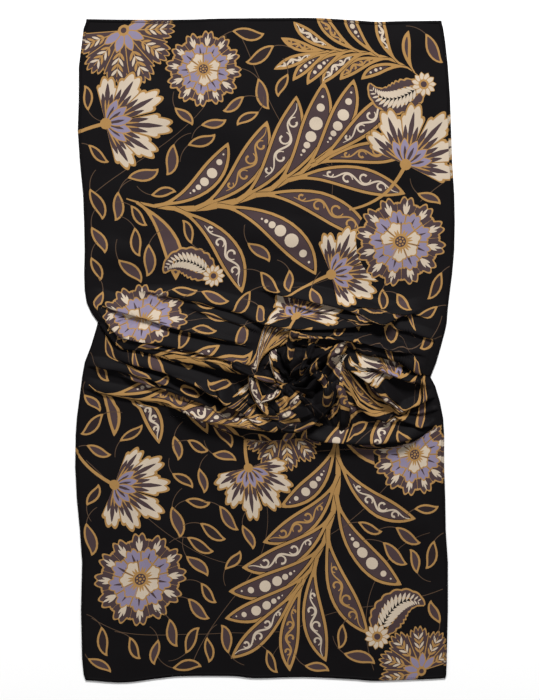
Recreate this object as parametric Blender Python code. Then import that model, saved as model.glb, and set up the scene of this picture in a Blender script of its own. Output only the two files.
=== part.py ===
"""A fine woven scarf laid flat, with its middle pinched and turned into a small swirl of folds.

The scarf lies on the floor plane z = 0. +X is to the right and +Y is towards the top short end.
Flat stretches are thin walls of cloth. In the gathered middle the hidden layers share one rounded
solid per stretch, whose top follows the folds that show. Sizes in the tables are in millimetres.
"""

import math

import bpy
import numpy as np

MM = 0.001

# Main sizes, in millimetres.
CLOTH = 2.0
HEM_WIDTH = 6.0
HEM_THICK = 2.8
HEM_GAP = 1.5
# Half of the gap between two stretches.
SEAM = 0.2
# Stacked layers that show at the long edges of the gather: thickness, step back, count, and how
# far in from the edge a step's slope reaches to either side.
LAYER = 2.2
LAYER_STEP = 3.0
LAYERS = 4
STEP_SLOPE = 0.2
# A height that no cloth reaches, for places with no layered step.
NO_CAP = 1000.0
# How far a rounded lip stands over the cloth below it, the share of its height that it keeps
# clear, the least that it keeps clear of that cloth, the height that it needs to round over in
# full, and the turns of its rounding.
NOSE = 5.0
FOOT_SHARE = 0.45
CLEAR = 1.2
NOSE_ROOM = 5.0
NOSE_TURNS = tuple(math.radians(turn) for turn in (25, 55, 90, 135, 180))
# A hem's section: shares of its width and of its thickness.
HEM_PROFILE = ((0.0, 0.0), (1.0, 0.0), (1.0, 0.75), (0.85, 1.0), (0.2, 1.0), (0.0, 0.7))
# How far in from a long edge the sections bend to follow it.
EDGE_PULL = 50.0
# Keeps the points of a lip apart where it doesn't stand over.
TINY = 0.01
# Edges that bend more than this are drawn sharp.
SHARP = math.radians(55)

# The scarf's two long edges, seen from above: a row per height y, with the left and right x.
EDGE_ROWS = np.array([
    (625, -337, 333), (610, -343, 337), (584, -346, 341), (538, -352, 346), (478, -352, 350),
    (417, -354, 352), (357, -350, 354), (296, -344, 358), (243, -342, 359), (190, -341, 358),
    (145, -342, 354), (114, -341, 350), (90, -337, 347), (69, -327, 345), (54, -316, 344),
    (39, -320, 341), (9, -329, 333), (-22, -341, 324), (-50, -346, 313), (-67, -348, 322),
    (-97, -352, 331), (-128, -356, 337), (-158, -358, 339), (-219, -359, 339), (-279, -356, 341),
    (-340, -350, 342), (-400, -346, 346), (-491, -348, 346), (-582, -346, 344), (-612, -343, 343),
    (-624, -339, 341),
], float)

# The two short ends, left to right, as (x, y).
TOP_LINE = np.array([
    (-338, 627), (-267, 626), (-153, 626), (-85, 628), (28, 629), (96, 629), (165, 625), (210, 622),
    (255, 623), (334, 624),
], float)
BOTTOM_LINE = np.array([
    (-339, -624), (-267, -628), (-199, -620), (-153, -616), (-62, -616), (-17, -620), (74, -618),
    (165, -622), (210, -625), (301, -622), (341, -620),
], float)
# Seam lines between the stretches, left to right, as (x, y).
FOLD_START = np.array([
    (-341, 126), (-218, 126), (-123, 128), (-9, 133), (104, 138), (218, 136), (293, 130), (352, 122),
], float)
LIP_LEFT = np.array([
    (-317, 56), (-297, 31), (-272, 8), (-229, -3), (-176, -16), (-117, -26), (-51, -39), (-17, -46),
], float)
CORE_OVER = np.array([
    (-17, -46), (-8, -16), (14, 6), (47, 15), (81, 12), (114, 12), (146, 15), (170, 7),
], float)
LIP_RIGHT = np.array([
    (170, 7), (189, -4), (221, -10), (254, -20), (280, -37), (311, -48),
], float)
CORE_UNDER = np.array([
    (-17, -46), (-14, -75), (0, -103), (22, -127), (49, -139), (78, -136), (104, -123),
    (124, -100), (133, -73), (137, -47), (148, -22), (170, 7),
], float)
ROLL_EDGE = np.array([
    (-354, -103), (-303, -103), (-246, -102), (-195, -103), (-151, -113), (-95, -143), (-47, -161),
    (-6, -170), (38, -167), (78, -164), (136, -169), (182, -181), (244, -180), (288, -168),
    (312, -151), (338, -147),
], float)
# The vertex of ROLL_EDGE below the core, where the left and right rolls meet.
ROLL_SPLIT_X = 58.0

# Folds: crest line from (x0, y0) by (x1, y1) to (x2, y2), height over the cloth beside it,
# and half width on the upper and the lower side.
FOLD_COLUMNS = ("x0", "y0", "x1", "y1", "x2", "y2", "high", "up", "down")
UPPER_FOLDS = [
    dict(zip(FOLD_COLUMNS, row)) for row in (
        (-30, 120, 105, 108, 272, 74, 9, 19, 12),
        (-45, 90, 90, 80, 262, 68, 11, 16, 12),
        (-95, 58, 85, 48, 325, 52, 13, 17, 14),
        (30, 24, 150, 27, 318, -12, 11, 13, 13),
        (-300, 34, -150, 10, 0, -30, 12, 22, 17),
        (-342, 104, -185, 56, 5, 14, 9, 24, 18),
        (-326, 92, -300, 60, -262, 24, 7, 15, 13),
        (-260, 122, -120, 96, -10, 66, 5, 26, 20),
    )
]
LEFT_FOLDS = [
    dict(zip(FOLD_COLUMNS, row)) for row in (
        (-306, -8, -150, -44, -20, -118, 13, 22, 20),
        (-90, -52, -42, -104, 50, -152, 12, 15, 14),
        (-182, -104, -90, -124, 70, -150, 17, 20, 26),
        (-350, -30, -250, -44, -170, -70, 6, 16, 15),
        (-356, -62, -260, -84, -150, -96, 4, 18, 18),
    )
]
RIGHT_FOLDS = [
    dict(zip(FOLD_COLUMNS, row)) for row in (
        (140, -20, 198, -50, 256, -118, 16, 24, 22),
        (160, -10, 232, -36, 322, -70, 10, 13, 13),
        (136, -58, 144, -108, 150, -158, 11, 12, 12),
        (240, -122, 282, -100, 332, -80, 9, 12, 12),
        (240, -118, 282, -136, 328, -138, 8, 10, 11),
        (50, -148, 180, -164, 322, -146, 17, 18, 24),
        (168, -84, 200, -116, 256, -134, 8, 13, 13),
    )
]

# The mound of hidden layers under the gather: a row per lump, with its centre, half sizes, height.
MOUND_COLUMNS = ("x", "y", "wide", "deep", "high")
MOUNDS = [
    dict(zip(MOUND_COLUMNS, row)) for row in (
        (44, -62, 150, 80, 18),
        (-170, -20, 150, 52, 7),
        (215, -40, 130, 70, 9),
    )
]

# The share of the mound that lies under the cloth below the lip.
UNDER_MOUND = 0.75

# The swirl: its eye, the number of spiral folds, their turn, and heights from the rim to the eye.
EYE = (44.0, -62.0)
SPIRAL_FOLDS = 5
SPIRAL_TURN = 1.5
CORE_RINGS = (1.0, 0.93, 0.86, 0.78, 0.70, 0.62, 0.54, 0.46, 0.38, 0.30, 0.22, 0.14, 0.07)
CORE_RIM = 23.0
CORE_HIGH = 40.0
CORE_EYE = 27.0
CORE_FOLD = 11.0

# Soft waves in the two flat panels, as crest line, height and half widths like the folds.
PANEL_WAVES = [
    dict(zip(FOLD_COLUMNS, row)) for row in (
        (-300, 470, -120, 430, 80, 330, 3, 60, 50),
        (40, 560, 180, 420, 330, 330, 3, 55, 45),
        (-60, 240, 60, 215, 300, 200, 4, 40, 34),
        (-330, 190, -230, 175, -120, 180, 4, 34, 30),
        (-320, -190, -220, -300, -190, -430, 3, 45, 50),
        (90, -215, 120, -300, 60, -420, 4, 34, 34),
        (230, -215, 262, -290, 300, -360, 4, 36, 36),
        (-120, -205, -60, -260, -20, -340, 3, 34, 34),
        (180, -430, 120, -500, 90, -560, 3, 50, 50),
    )
]

# Sample counts.
LEFT_STEPS = 26
OVER_STEPS = 19
RIGHT_STEPS = 14
UNDER_LEFT_STEPS = 13
UNDER_RIGHT_STEPS = 15
FINE = 400
UPPER_PANEL_ROWS = 10
LOWER_PANEL_ROWS = 13
UPPER_ROWS = 21
UNDER_ROWS = 21
FOLD_SAMPLES = 81
HEM_STEPS = 22
# Panel rows stand closer together near the gather.
PANEL_CROWD = 1.25

COLOURS = {
    "cloth": (0.020, 0.018, 0.020, 1.0),
    "fold": (0.030, 0.025, 0.026, 1.0),
    "core": (0.045, 0.034, 0.028, 1.0),
    "hem": (0.012, 0.011, 0.013, 1.0),
}


def clear_scene():
    for obj in list(bpy.data.objects):
        bpy.data.objects.remove(obj, do_unlink=True)


def material(name, colour):
    made = bpy.data.materials.new(name)
    made.use_nodes = True
    shader = made.node_tree.nodes["Principled BSDF"]
    shader.inputs["Base Color"].default_value = colour
    shader.inputs["Roughness"].default_value = 0.6
    return made


def smooth_step(value):
    value = np.clip(value, 0.0, 1.0)
    return value * value * (3.0 - 2.0 * value)


def along(points, count):
    """Points evenly spaced on a smooth curve through the given ones (a Catmull-Rom curve)."""
    ends = np.vstack([2 * points[0] - points[1], points, 2 * points[-1] - points[-2]])
    fine = []
    for a, b, c, d in zip(ends[:-3], ends[1:-2], ends[2:-1], ends[3:]):
        for t in np.linspace(0.0, 1.0, 12, endpoint=False):
            fine.append(0.5 * (2 * b + (c - a) * t + (2 * a - 5 * b + 4 * c - d) * t ** 2
                               + (3 * b - a - 3 * c + d) * t ** 3))
    fine.append(points[-1])
    fine = np.array(fine)
    length = np.concatenate([[0.0], np.cumsum(np.linalg.norm(np.diff(fine, axis=0), axis=1))])
    wanted = np.linspace(0.0, length[-1], count)
    return np.column_stack([np.interp(wanted, length, fine[:, k]) for k in range(2)])


def shifted(line, distance):
    """The line moved sideways: to its left, seen in the direction that it runs."""
    run = np.gradient(line, axis=0)
    run /= np.linalg.norm(run, axis=1)[:, None]
    return line + distance * np.column_stack([-run[:, 1], run[:, 0]])


def edge_x(y, side):
    """The x of the left (side 1) or right (side 2) long edge at height y."""
    return np.interp(y, EDGE_ROWS[::-1, 0], EDGE_ROWS[::-1, side])


def fold_height(fold, x, y):
    """One fold: a rounded crest along a bent line, with crisp feet, fading out at both ends."""
    x = np.asarray(x, float)
    y = np.asarray(y, float)
    a = np.array([fold["x0"], fold["y0"]], float)
    b = np.array([fold["x1"], fold["y1"]], float)
    c = np.array([fold["x2"], fold["y2"]], float)
    t = np.linspace(0.0, 1.0, FOLD_SAMPLES)[:, None]
    bend = 2 * b - 0.5 * (a + c)
    line = (1 - t) ** 2 * a + 2 * t * (1 - t) * bend + t ** 2 * c
    gap_x = x[..., None] - line[:, 0]
    gap_y = y[..., None] - line[:, 1]
    away = np.hypot(gap_x, gap_y)
    near = np.asarray(away.argmin(axis=-1))
    distance = np.take_along_axis(away, near[..., None], -1)[..., 0]
    run = np.gradient(line, axis=0)
    above = (run[near, 0] * np.take_along_axis(gap_y, near[..., None], -1)[..., 0]
             - run[near, 1] * np.take_along_axis(gap_x, near[..., None], -1)[..., 0]) > 0
    share = distance / np.where(above, fold["up"], fold["down"])
    place = near / (len(line) - 1)
    fade = smooth_step(place / 0.22) * smooth_step((1.0 - place) / 0.22)
    return fold["high"] * fade * np.clip(1.0 - share ** 2, 0.0, None)


def mound_height(x, y):
    """The hidden layers under the gather."""
    total = np.zeros(np.shape(x))
    for lump in MOUNDS:
        far = ((x - lump["x"]) / lump["wide"]) ** 2 + ((y - lump["y"]) / lump["deep"]) ** 2
        total = total + lump["high"] * np.exp(-far)
    return total


def folds_height(folds, x, y):
    return sum(fold_height(fold, x, y) for fold in folds)


def panel_height(x, y):
    """Height of a flat panel's upper face."""
    return CLOTH + folds_height(PANEL_WAVES, x, y)


def lip_strength(x):
    """How far the rolled lower edge stands over the lower panel: none at the far left and right."""
    return smooth_step((x + 190.0) / 60.0) * smooth_step((325.0 - x) / 40.0)


def upper_height(x, y):
    """The folded cloth above the lip: it climbs from the panel to the lip over hidden layers."""
    start = np.interp(x, FOLD_START[:, 0], FOLD_START[:, 1])
    climb = smooth_step((start - y) / 90.0)
    side = smooth_step((x + 352.0) / 60.0) * smooth_step((362.0 - x) / 60.0)
    rise = climb * (3.0 + 4.0 * side + mound_height(x, y))
    return CLOTH + 0.6 + rise + smooth_step((start - y) / 14.0) * folds_height(UPPER_FOLDS, x, y)


def under_height(folds, x, y):
    """The cloth below the lip: hidden layers under it, then folds."""
    side = smooth_step((x + 362.0) / 50.0) * smooth_step((350.0 - x) / 50.0)
    return CLOTH + 0.6 + side * UNDER_MOUND * mound_height(x, y) + folds_height(folds, x, y)


def left_height(x, y):
    return under_height(LEFT_FOLDS, x, y)


def right_height(x, y):
    return under_height(RIGHT_FOLDS, x, y)


def below_lip(x, y):
    """The cloth that the upper lip lies on."""
    return float(np.where(x < EYE[0], left_height(x, y), right_height(x, y)))


def below_roll(x, y):
    """The lower panel, under the rolled edges."""
    return float(panel_height(x, y))


def upper_nose(x):
    """How far the upper lip stands over: all along it, but not at the swirl."""
    return smooth_step((-25.0 - x) / 30.0) + smooth_step((x - 170.0) / 25.0)


def core_height(angle, share):
    """The swirl at an angle and a share of the way from its eye (0) to its rim (1)."""
    body = np.interp(share, (0.0, 0.18, 0.55, 0.85, 1.0),
                     (CORE_EYE, CORE_EYE + 6.0, CORE_HIGH, CORE_RIM + 8.0, CORE_RIM))
    phase = SPIRAL_FOLDS * angle / (2 * math.pi) - SPIRAL_TURN * np.log(share + 0.2)
    phase += 0.2 * np.sin(2 * angle + 0.7) + 0.1 * np.sin(3 * angle + 2.0)
    saw = 2.0 * (phase - np.floor(phase)) - 1.0
    crest = 1.0 - np.abs(saw) ** 1.7
    uneven = 0.75 + 0.35 * np.sin(angle + 1.1)
    return body + CORE_FOLD * uneven * (crest - 0.6) * smooth_step(share / 0.5)


def make_mesh(name, points, faces, colour):
    """A mesh object in metres, smooth shaded, with its own material and its faces turned outward."""
    points = np.asarray(points) * MM
    mesh = bpy.data.meshes.new(name)
    mesh.from_pydata([tuple(p) for p in points], [], faces)
    mesh.calc_loop_triangles()
    corners = np.array([points[list(t.vertices)] for t in mesh.loop_triangles])
    if np.einsum("ij,ij->i", corners[:, 0], np.cross(corners[:, 1], corners[:, 2])).sum() < 0:
        mesh.flip_normals()
    for polygon in mesh.polygons:
        polygon.use_smooth = True
    mesh.set_sharp_from_angle(angle=SHARP)
    mesh.materials.append(material(name + "_cloth", COLOURS[colour]))
    obj = bpy.data.objects.new(name, mesh)
    bpy.context.scene.collection.objects.link(obj)
    return obj


def loft(name, loops, colour, strip_caps=False):
    """A closed solid through closed loops with equal counts, capped at both ends. A strip cap joins
    each point to the one facing it, so that the end of a thin wall can follow a curve."""
    count = len(loops[0])
    faces = []
    for k in range(len(loops) - 1):
        for j in range(count):
            after = (j + 1) % count
            faces.append((k * count + j, k * count + after, (k + 1) * count + after, (k + 1) * count + j))
    last = (len(loops) - 1) * count
    caps = [tuple(range(count))]
    if strip_caps:
        caps = [(j, j + 1, count - 2 - j, count - 1 - j) for j in range(count // 2 - 1)]
    faces += [cap[::-1] for cap in caps]
    faces += [tuple(last + j for j in cap) for cap in caps]
    return make_mesh(name, np.vstack(loops), faces, colour)


def lengths(line):
    """The distance along a line to each of its points."""
    return np.concatenate([[0.0], np.cumsum(np.linalg.norm(np.diff(line, axis=0), axis=1))])


def at_shares(line, shares):
    """Points at the given shares of the way along a line."""
    here = lengths(line) / lengths(line)[-1]
    return np.column_stack([np.interp(shares, here, line[:, k]) for k in range(2)])


def matched(line, other):
    """Points of a line at the same shares of the way as the points of another one."""
    return at_shares(line, lengths(other) / lengths(other)[-1])


def on_edges(line, left, right):
    """Moves a line's ends onto the long edges that it reaches."""
    line = line.copy()
    if left:
        line[0, 0] = edge_x(line[0, 1], 1)
    if right:
        line[-1, 0] = edge_x(line[-1, 1], 2)
    return line


def inside_hems(line):
    """The part of a line between the side hems, ending on their inner sides."""
    inset = HEM_WIDTH + HEM_GAP
    low = edge_x(line[0, 1], 1) + inset
    high = edge_x(line[-1, 1], 2) - inset
    kept = line[(line[:, 0] > low + 1.0) & (line[:, 0] < high - 1.0)]
    ends = [(x, np.interp(x, line[:, 0], line[:, 1])) for x in (low, high)]
    return np.vstack([ends[0], kept, ends[1]])


def panel(name, seam, far_line, rows, height):
    """A flat stretch: a thin wall of cloth from a seam line to a short end. Its underside is flat on
    the floor wherever the wall is no higher than the cloth is thick."""
    inset = HEM_WIDTH + HEM_GAP
    low = edge_x(seam[:, 1], 1) + inset
    high = edge_x(seam[:, 1], 2) - inset
    place = (seam[:, 0] - low) / (high - low)
    inward = math.copysign(inset, seam[0, 1] - far_line[0, 1])
    share = np.linspace(0.0, 1.0, rows) ** PANEL_CROWD
    loops = []
    for (x0, y0), across in zip(seam, place):
        end_x = far_line[0, 0] + across * (far_line[-1, 0] - far_line[0, 0])
        end_y = np.interp(end_x, far_line[:, 0], far_line[:, 1]) + inward
        y = y0 + (end_y - y0) * share
        left = edge_x(y, 1) + inset
        right = edge_x(y, 2) - inset
        x = left + across * (right - left)
        top = height(x, y)
        upper = np.column_stack([x, y, top])
        lower = np.column_stack([x, y, np.maximum(top - CLOTH, 0.0)])
        loops.append(np.vstack([lower[::-1], upper]))
    return loft(name, loops, "cloth", strip_caps=True)


def layered_cap(run, reach):
    """The most that the cloth may stand at a distance from the scarf's long edge: one layer at the
    edge, then a step up for each further layer."""
    return np.where(run < reach, LAYER * (1.0 + np.floor(run / LAYER_STEP)), NO_CAP)


def heap(name, start, end, rows, height, nose, below, run, sides):
    """A rounded solid over hidden layers, between two lines, flat underneath. Its lower edge is
    rounded and stands over the cloth at below(x, y) by nose(x). run is the distance along the lip
    of each section, and sides names the long edges that the solid reaches."""
    share = np.linspace(0.0, 1.0, rows)
    cap = np.full(len(run), NO_CAP)
    pull = np.zeros((len(run), rows))
    for side, column, away in (("left", 1, run), ("right", 2, run[-1] - run)):
        if side not in sides:
            continue
        cap = np.minimum(cap, layered_cap(away, LAYERS * LAYER_STEP))
        k = 0 if side == "left" else -1
        edge_points = start[k] + share[:, None] * (end[k] - start[k])
        miss = edge_x(edge_points[:, 1], column) - edge_points[:, 0]
        pull += smooth_step(1.0 - away / EDGE_PULL)[:, None] * miss
    loops = []
    for k, (a, b) in enumerate(zip(start, end)):
        x = a[0] + (b[0] - a[0]) * share + pull[k]
        y = a[1] + (b[1] - a[1]) * share
        top = np.minimum(height(x, y), cap[k])
        out = (b - a) / np.linalg.norm(b - a)
        edge = top[-1]
        tip = b + NOSE * out
        foot = max(FOOT_SHARE * edge, below(b[0], b[1]) + CLEAR, below(tip[0], tip[1]) + CLEAR)
        reach = nose(b[0]) * smooth_step((edge - foot) / NOSE_ROOM) * (cap[k] == NO_CAP)
        foot = edge + smooth_step(reach * NOSE_ROOM) * (foot - edge)
        section = [(x[0], y[0], 0.0)]
        section += list(zip(x, y, top))
        for turn in NOSE_TURNS:
            over = b + reach * NOSE * math.sin(turn) * out
            level = foot + (edge - foot) * (0.5 + 0.5 * math.cos(turn))
            section.append((over[0], over[1], level - turn * TINY))
        section.append((b[0], b[1], 0.0))
        loops.append(np.array(section)[::-1])
    return loft(name, loops, "fold")


def with_edge_steps(line, left, right):
    """A line with close samples near the ends that reach the scarf's edges, so that the layered
    steps come out sharp."""
    length = lengths(line)
    reach = (LAYERS + 0.1) * LAYER_STEP
    kept = length[((length == 0) | (length > reach) | (not left))
                  & ((length == length[-1]) | (length < length[-1] - reach) | (not right))]
    marks = [k * LAYER_STEP + side for k in range(1, LAYERS + 1) for side in (-STEP_SLOPE, STEP_SLOPE)]
    extra = np.array(marks if left else [length[-1] - mark for mark in marks])
    return at_shares(line, np.sort(np.concatenate([kept, extra])) / length[-1])


def core(name, rim):
    """The swirl, as rings from the floor up its rim and in to the eye."""
    centre = np.array(EYE)
    arm = rim - centre
    angle = np.arctan2(arm[:, 1], arm[:, 0])
    loops = [np.column_stack([rim, np.zeros(len(rim))])]
    for share in CORE_RINGS:
        ring = centre + arm * share
        loops.append(np.column_stack([ring, core_height(angle, share)]))
    return loft(name, loops, "core")


def hem(name, line, inward):
    """A narrow turned hem along an edge line: a flat strip with rounded upper corners."""
    inner = shifted(line, inward * HEM_WIDTH)
    loops = []
    for a, b in zip(line, inner):
        points = [(a[0] + p * (b[0] - a[0]), a[1] + p * (b[1] - a[1]), q * HEM_THICK) for p, q in HEM_PROFILE]
        loops.append(np.array(points))
    return loft(name, loops, "hem")


def side_line(column, y_from, y_to):
    """Part of a long edge, from one height down to another."""
    y = EDGE_ROWS[:, 0]
    y = np.concatenate([[y_from], y[(y < y_from - 1.0) & (y > y_to + 1.0)], [y_to]])
    return np.column_stack([edge_x(y, column), y])


def end_line(line):
    """A short end, as evenly spaced points."""
    return along(line, HEM_STEPS)


def main():
    clear_scene()
    lip_left = with_edge_steps(on_edges(along(LIP_LEFT, LEFT_STEPS), True, False), True, False)
    lip_right = with_edge_steps(on_edges(along(LIP_RIGHT, RIGHT_STEPS), False, True), False, True)
    over = along(CORE_OVER, OVER_STEPS)
    under = along(CORE_UNDER, UNDER_LEFT_STEPS + UNDER_RIGHT_STEPS)
    lip = np.vstack([lip_left, over[1:-1], lip_right])
    left_top = np.vstack([lip_left, under[1:UNDER_LEFT_STEPS]])
    right_top = np.vstack([under[UNDER_LEFT_STEPS - 1:-1], lip_right])
    rim = np.vstack([over[:-1], under[:0:-1]])

    start = on_edges(matched(along(FOLD_START, FINE), lip), True, True)
    roll = along(ROLL_EDGE, FINE)
    split = int(np.argmin(np.abs(roll[:, 0] - ROLL_SPLIT_X)))
    left_roll = on_edges(matched(roll[:split + 1], left_top), True, False)
    right_roll = on_edges(matched(roll[split:], right_top), False, True)
    whole_roll = np.vstack([left_roll, right_roll[1:]])

    panel("upper_panel", inside_hems(shifted(start, SEAM)), TOP_LINE, UPPER_PANEL_ROWS, panel_height)
    panel("lower_panel", inside_hems(shifted(whole_roll, -SEAM)), BOTTOM_LINE, LOWER_PANEL_ROWS,
          panel_height)
    heap("upper_gather", shifted(start, -SEAM), shifted(lip, SEAM), UPPER_ROWS, upper_height,
         upper_nose, below_lip, lengths(lip), ("left", "right"))

    left_start = shifted(left_top, -SEAM)
    left_end = shifted(whole_roll, SEAM)[:len(left_roll)]
    left_start[-1, 0] -= SEAM
    left_end[-1, 0] -= SEAM
    heap("under_gather_left", left_start, left_end, UNDER_ROWS, left_height, lip_strength,
         below_roll, lengths(left_top), ("left",))
    right_start = shifted(right_top, -SEAM)
    right_end = shifted(whole_roll, SEAM)[len(left_roll) - 1:]
    right_start[0, 0] += SEAM
    right_end[0, 0] += SEAM
    heap("under_gather_right", right_start, right_end, UNDER_ROWS, right_height, lip_strength,
         below_roll, lengths(right_top), ("right",))

    ring = np.vstack([rim[-1], rim, rim[0]])
    core("twist_core", shifted(ring, -SEAM)[1:-1])

    top_y = TOP_LINE[0, 1] - HEM_WIDTH - HEM_GAP
    bottom_y = BOTTOM_LINE[0, 1] + HEM_WIDTH + HEM_GAP
    hem("hem_top", end_line(TOP_LINE), -1)
    hem("hem_bottom", end_line(BOTTOM_LINE), 1)
    hem("hem_upper_left", side_line(1, top_y, start[0, 1] + HEM_GAP), 1)
    hem("hem_upper_right", side_line(2, top_y - 4.0, start[-1, 1] + HEM_GAP), -1)
    hem("hem_lower_left", side_line(1, whole_roll[0, 1] - HEM_GAP, bottom_y), 1)
    hem("hem_lower_right", side_line(2, whole_roll[-1, 1] - HEM_GAP, bottom_y + 7.0), -1)


main()
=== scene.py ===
# %% [markdown]
# # A fine woven scarf, laid flat with a twisted middle
# The real thing is one rectangle of thin silky cloth, 0.70 m by 1.80 m, printed all over. It lies
# on a flat surface, seen from straight above. Its middle was pinched and turned, so the cloth runs
# into a small swirl in cross folds, and a long lip of it lies over the cloth below.
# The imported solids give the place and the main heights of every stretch. This script lays a thin,
# finely folded cloth on the same lines, prints it, and hems it.

# %% Load the frame
import math

import bpy
import numpy as np
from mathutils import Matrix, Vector
from mathutils.bvhtree import BVHTree
from mathutils.geometry import delaunay_2d_cdt


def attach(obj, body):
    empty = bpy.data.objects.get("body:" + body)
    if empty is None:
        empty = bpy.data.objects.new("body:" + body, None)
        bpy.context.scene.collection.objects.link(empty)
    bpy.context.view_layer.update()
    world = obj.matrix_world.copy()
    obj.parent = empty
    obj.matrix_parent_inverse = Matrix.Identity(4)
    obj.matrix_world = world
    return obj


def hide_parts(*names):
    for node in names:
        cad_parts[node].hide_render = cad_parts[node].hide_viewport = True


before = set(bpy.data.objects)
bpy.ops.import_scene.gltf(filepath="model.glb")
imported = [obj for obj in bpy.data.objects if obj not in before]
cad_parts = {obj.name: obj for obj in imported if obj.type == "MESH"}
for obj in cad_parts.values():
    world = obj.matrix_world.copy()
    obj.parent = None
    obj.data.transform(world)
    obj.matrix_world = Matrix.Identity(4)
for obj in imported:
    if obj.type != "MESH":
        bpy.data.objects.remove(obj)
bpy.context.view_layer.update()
MM = 0.001
print("stretches:", ", ".join(sorted(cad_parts)))

# %% [markdown]
# ## The lines that the cloth follows
# A scarf that lies flat is best described from above. Its two long edges are a row for each height;
# the short ends, the place where folding starts, the lip of the upper cloth, the rim of the swirl
# and the roll over the lower panel are each one line, left to right. All numbers are millimetres,
# in the same frame as the solids.

# %% Lines seen from above
EDGE_ROWS = np.array([
    (625, -337, 333), (610, -343, 337), (584, -346, 341), (538, -352, 346), (478, -352, 350),
    (417, -354, 352), (357, -350, 354), (296, -344, 358), (243, -342, 359), (190, -341, 358),
    (145, -342, 354), (114, -341, 350), (90, -337, 347), (69, -327, 345), (54, -316, 344),
    (39, -320, 341), (9, -329, 333), (-22, -341, 324), (-50, -346, 313), (-67, -348, 322),
    (-97, -352, 331), (-128, -356, 337), (-158, -358, 339), (-219, -359, 339), (-279, -356, 341),
    (-340, -350, 342), (-400, -346, 346), (-491, -348, 346), (-582, -346, 344), (-612, -343, 343),
    (-624, -339, 341),
], float)
TOP_LINE = np.array([
    (-338, 627), (-267, 626), (-153, 626), (-85, 628), (28, 629), (96, 629), (165, 625), (210, 622),
    (255, 623), (334, 624),
], float)
BOTTOM_LINE = np.array([
    (-339, -624), (-267, -628), (-199, -620), (-153, -616), (-62, -616), (-17, -620), (74, -618),
    (165, -622), (210, -625), (301, -622), (341, -620),
], float)
FOLD_START = np.array([
    (-341, 126), (-218, 126), (-123, 128), (-9, 133), (104, 138), (218, 136), (293, 130), (352, 122),
], float)
LIP_LEFT = np.array([
    (-317, 56), (-297, 31), (-272, 8), (-229, -3), (-176, -16), (-117, -26), (-51, -39), (-17, -46),
], float)
CORE_OVER = np.array([
    (-17, -46), (-8, -16), (14, 6), (47, 15), (81, 12), (114, 12), (146, 15), (170, 7),
], float)
LIP_RIGHT = np.array([(170, 7), (189, -4), (221, -10), (254, -20), (280, -37), (311, -48)], float)
CORE_UNDER = np.array([
    (-17, -46), (-14, -75), (0, -103), (22, -127), (49, -139), (78, -136), (104, -123),
    (124, -100), (133, -73), (137, -47), (148, -22), (170, 7),
], float)
ROLL_EDGE = np.array([
    (-354, -103), (-303, -103), (-246, -102), (-195, -103), (-151, -113), (-95, -143), (-47, -161),
    (-6, -170), (38, -167), (78, -164), (136, -169), (182, -181), (244, -180), (288, -168),
    (312, -151), (338, -147),
], float)
ROLL_SPLIT_X = 58.0
EYE = np.array([44.0, -62.0])
print("long edges: %d rows over %.0f mm" % (len(EDGE_ROWS), EDGE_ROWS[0, 0] - EDGE_ROWS[-1, 0]))

# %% Helpers for lines
def along(points, count):
    """Evenly spaced points on a smooth curve through the given ones."""
    ends = np.vstack([2 * points[0] - points[1], points, 2 * points[-1] - points[-2]])
    fine = []
    for a, b, c, d in zip(ends[:-3], ends[1:-2], ends[2:-1], ends[3:]):
        for t in np.linspace(0.0, 1.0, 24, endpoint=False):
            fine.append(0.5 * (2 * b + (c - a) * t + (2 * a - 5 * b + 4 * c - d) * t ** 2
                               + (3 * b - a - 3 * c + d) * t ** 3))
    fine.append(points[-1])
    return at_shares(np.array(fine), np.linspace(0.0, 1.0, count))


def lengths(line):
    return np.concatenate([[0.0], np.cumsum(np.linalg.norm(np.diff(line, axis=0), axis=1))])


def at_shares(line, shares):
    """Points at the given shares of the way along a line."""
    here = lengths(line) / lengths(line)[-1]
    return np.column_stack([np.interp(shares, here, line[:, k]) for k in range(line.shape[1])])


def edge_x(y, side):
    """The x of the left (side 1) or right (side 2) long edge at height y."""
    return np.interp(y, EDGE_ROWS[::-1, 0], EDGE_ROWS[::-1, side])


def to_edges(line):
    """Moves a line's two ends onto the long edges."""
    line = line.copy()
    line[0, 0] = edge_x(line[0, 1], 1)
    line[-1, 0] = edge_x(line[-1, 1], 2)
    return line


def smooth_step(value):
    value = np.clip(value, 0.0, 1.0)
    return value * value * (3.0 - 2.0 * value)


def plateau(value, low, rise, high, fall):
    """A share that rises from nothing at low, stays whole, and falls to nothing at high."""
    return smooth_step((value - low) / rise) * smooth_step((high - value) / fall)


def sideways(line):
    """Unit directions to the left of a line, one for each of its points."""
    run = np.gradient(line, axis=0)
    run /= np.maximum(np.linalg.norm(run, axis=1), 1e-9)[:, None]
    return np.column_stack([-run[:, 1], run[:, 0]])


def bent_line(row, count):
    """Points of a line that is bent through the three places of a table row."""
    a, b, c = (np.array([row["x%d" % k], row["y%d" % k]], float) for k in range(3))
    t = np.linspace(0.0, 1.0, count)[:, None]
    return (1 - t) ** 2 * a + 2 * t * (1 - t) * (2 * b - 0.5 * (a + c)) + t ** 2 * c


LINE_POINTS = 400
start_line = to_edges(along(FOLD_START, LINE_POINTS))
roll_line = to_edges(along(ROLL_EDGE, LINE_POINTS))
rim_over = along(CORE_OVER, LINE_POINTS)
rim_under = along(CORE_UNDER, LINE_POINTS)
lip_over = to_edges(np.vstack([
    along(LIP_LEFT, LINE_POINTS)[:-1], rim_over, along(LIP_RIGHT, LINE_POINTS)[1:],
]))
print("lip of the upper cloth: %.0f mm long" % lengths(lip_over)[-1])

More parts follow.
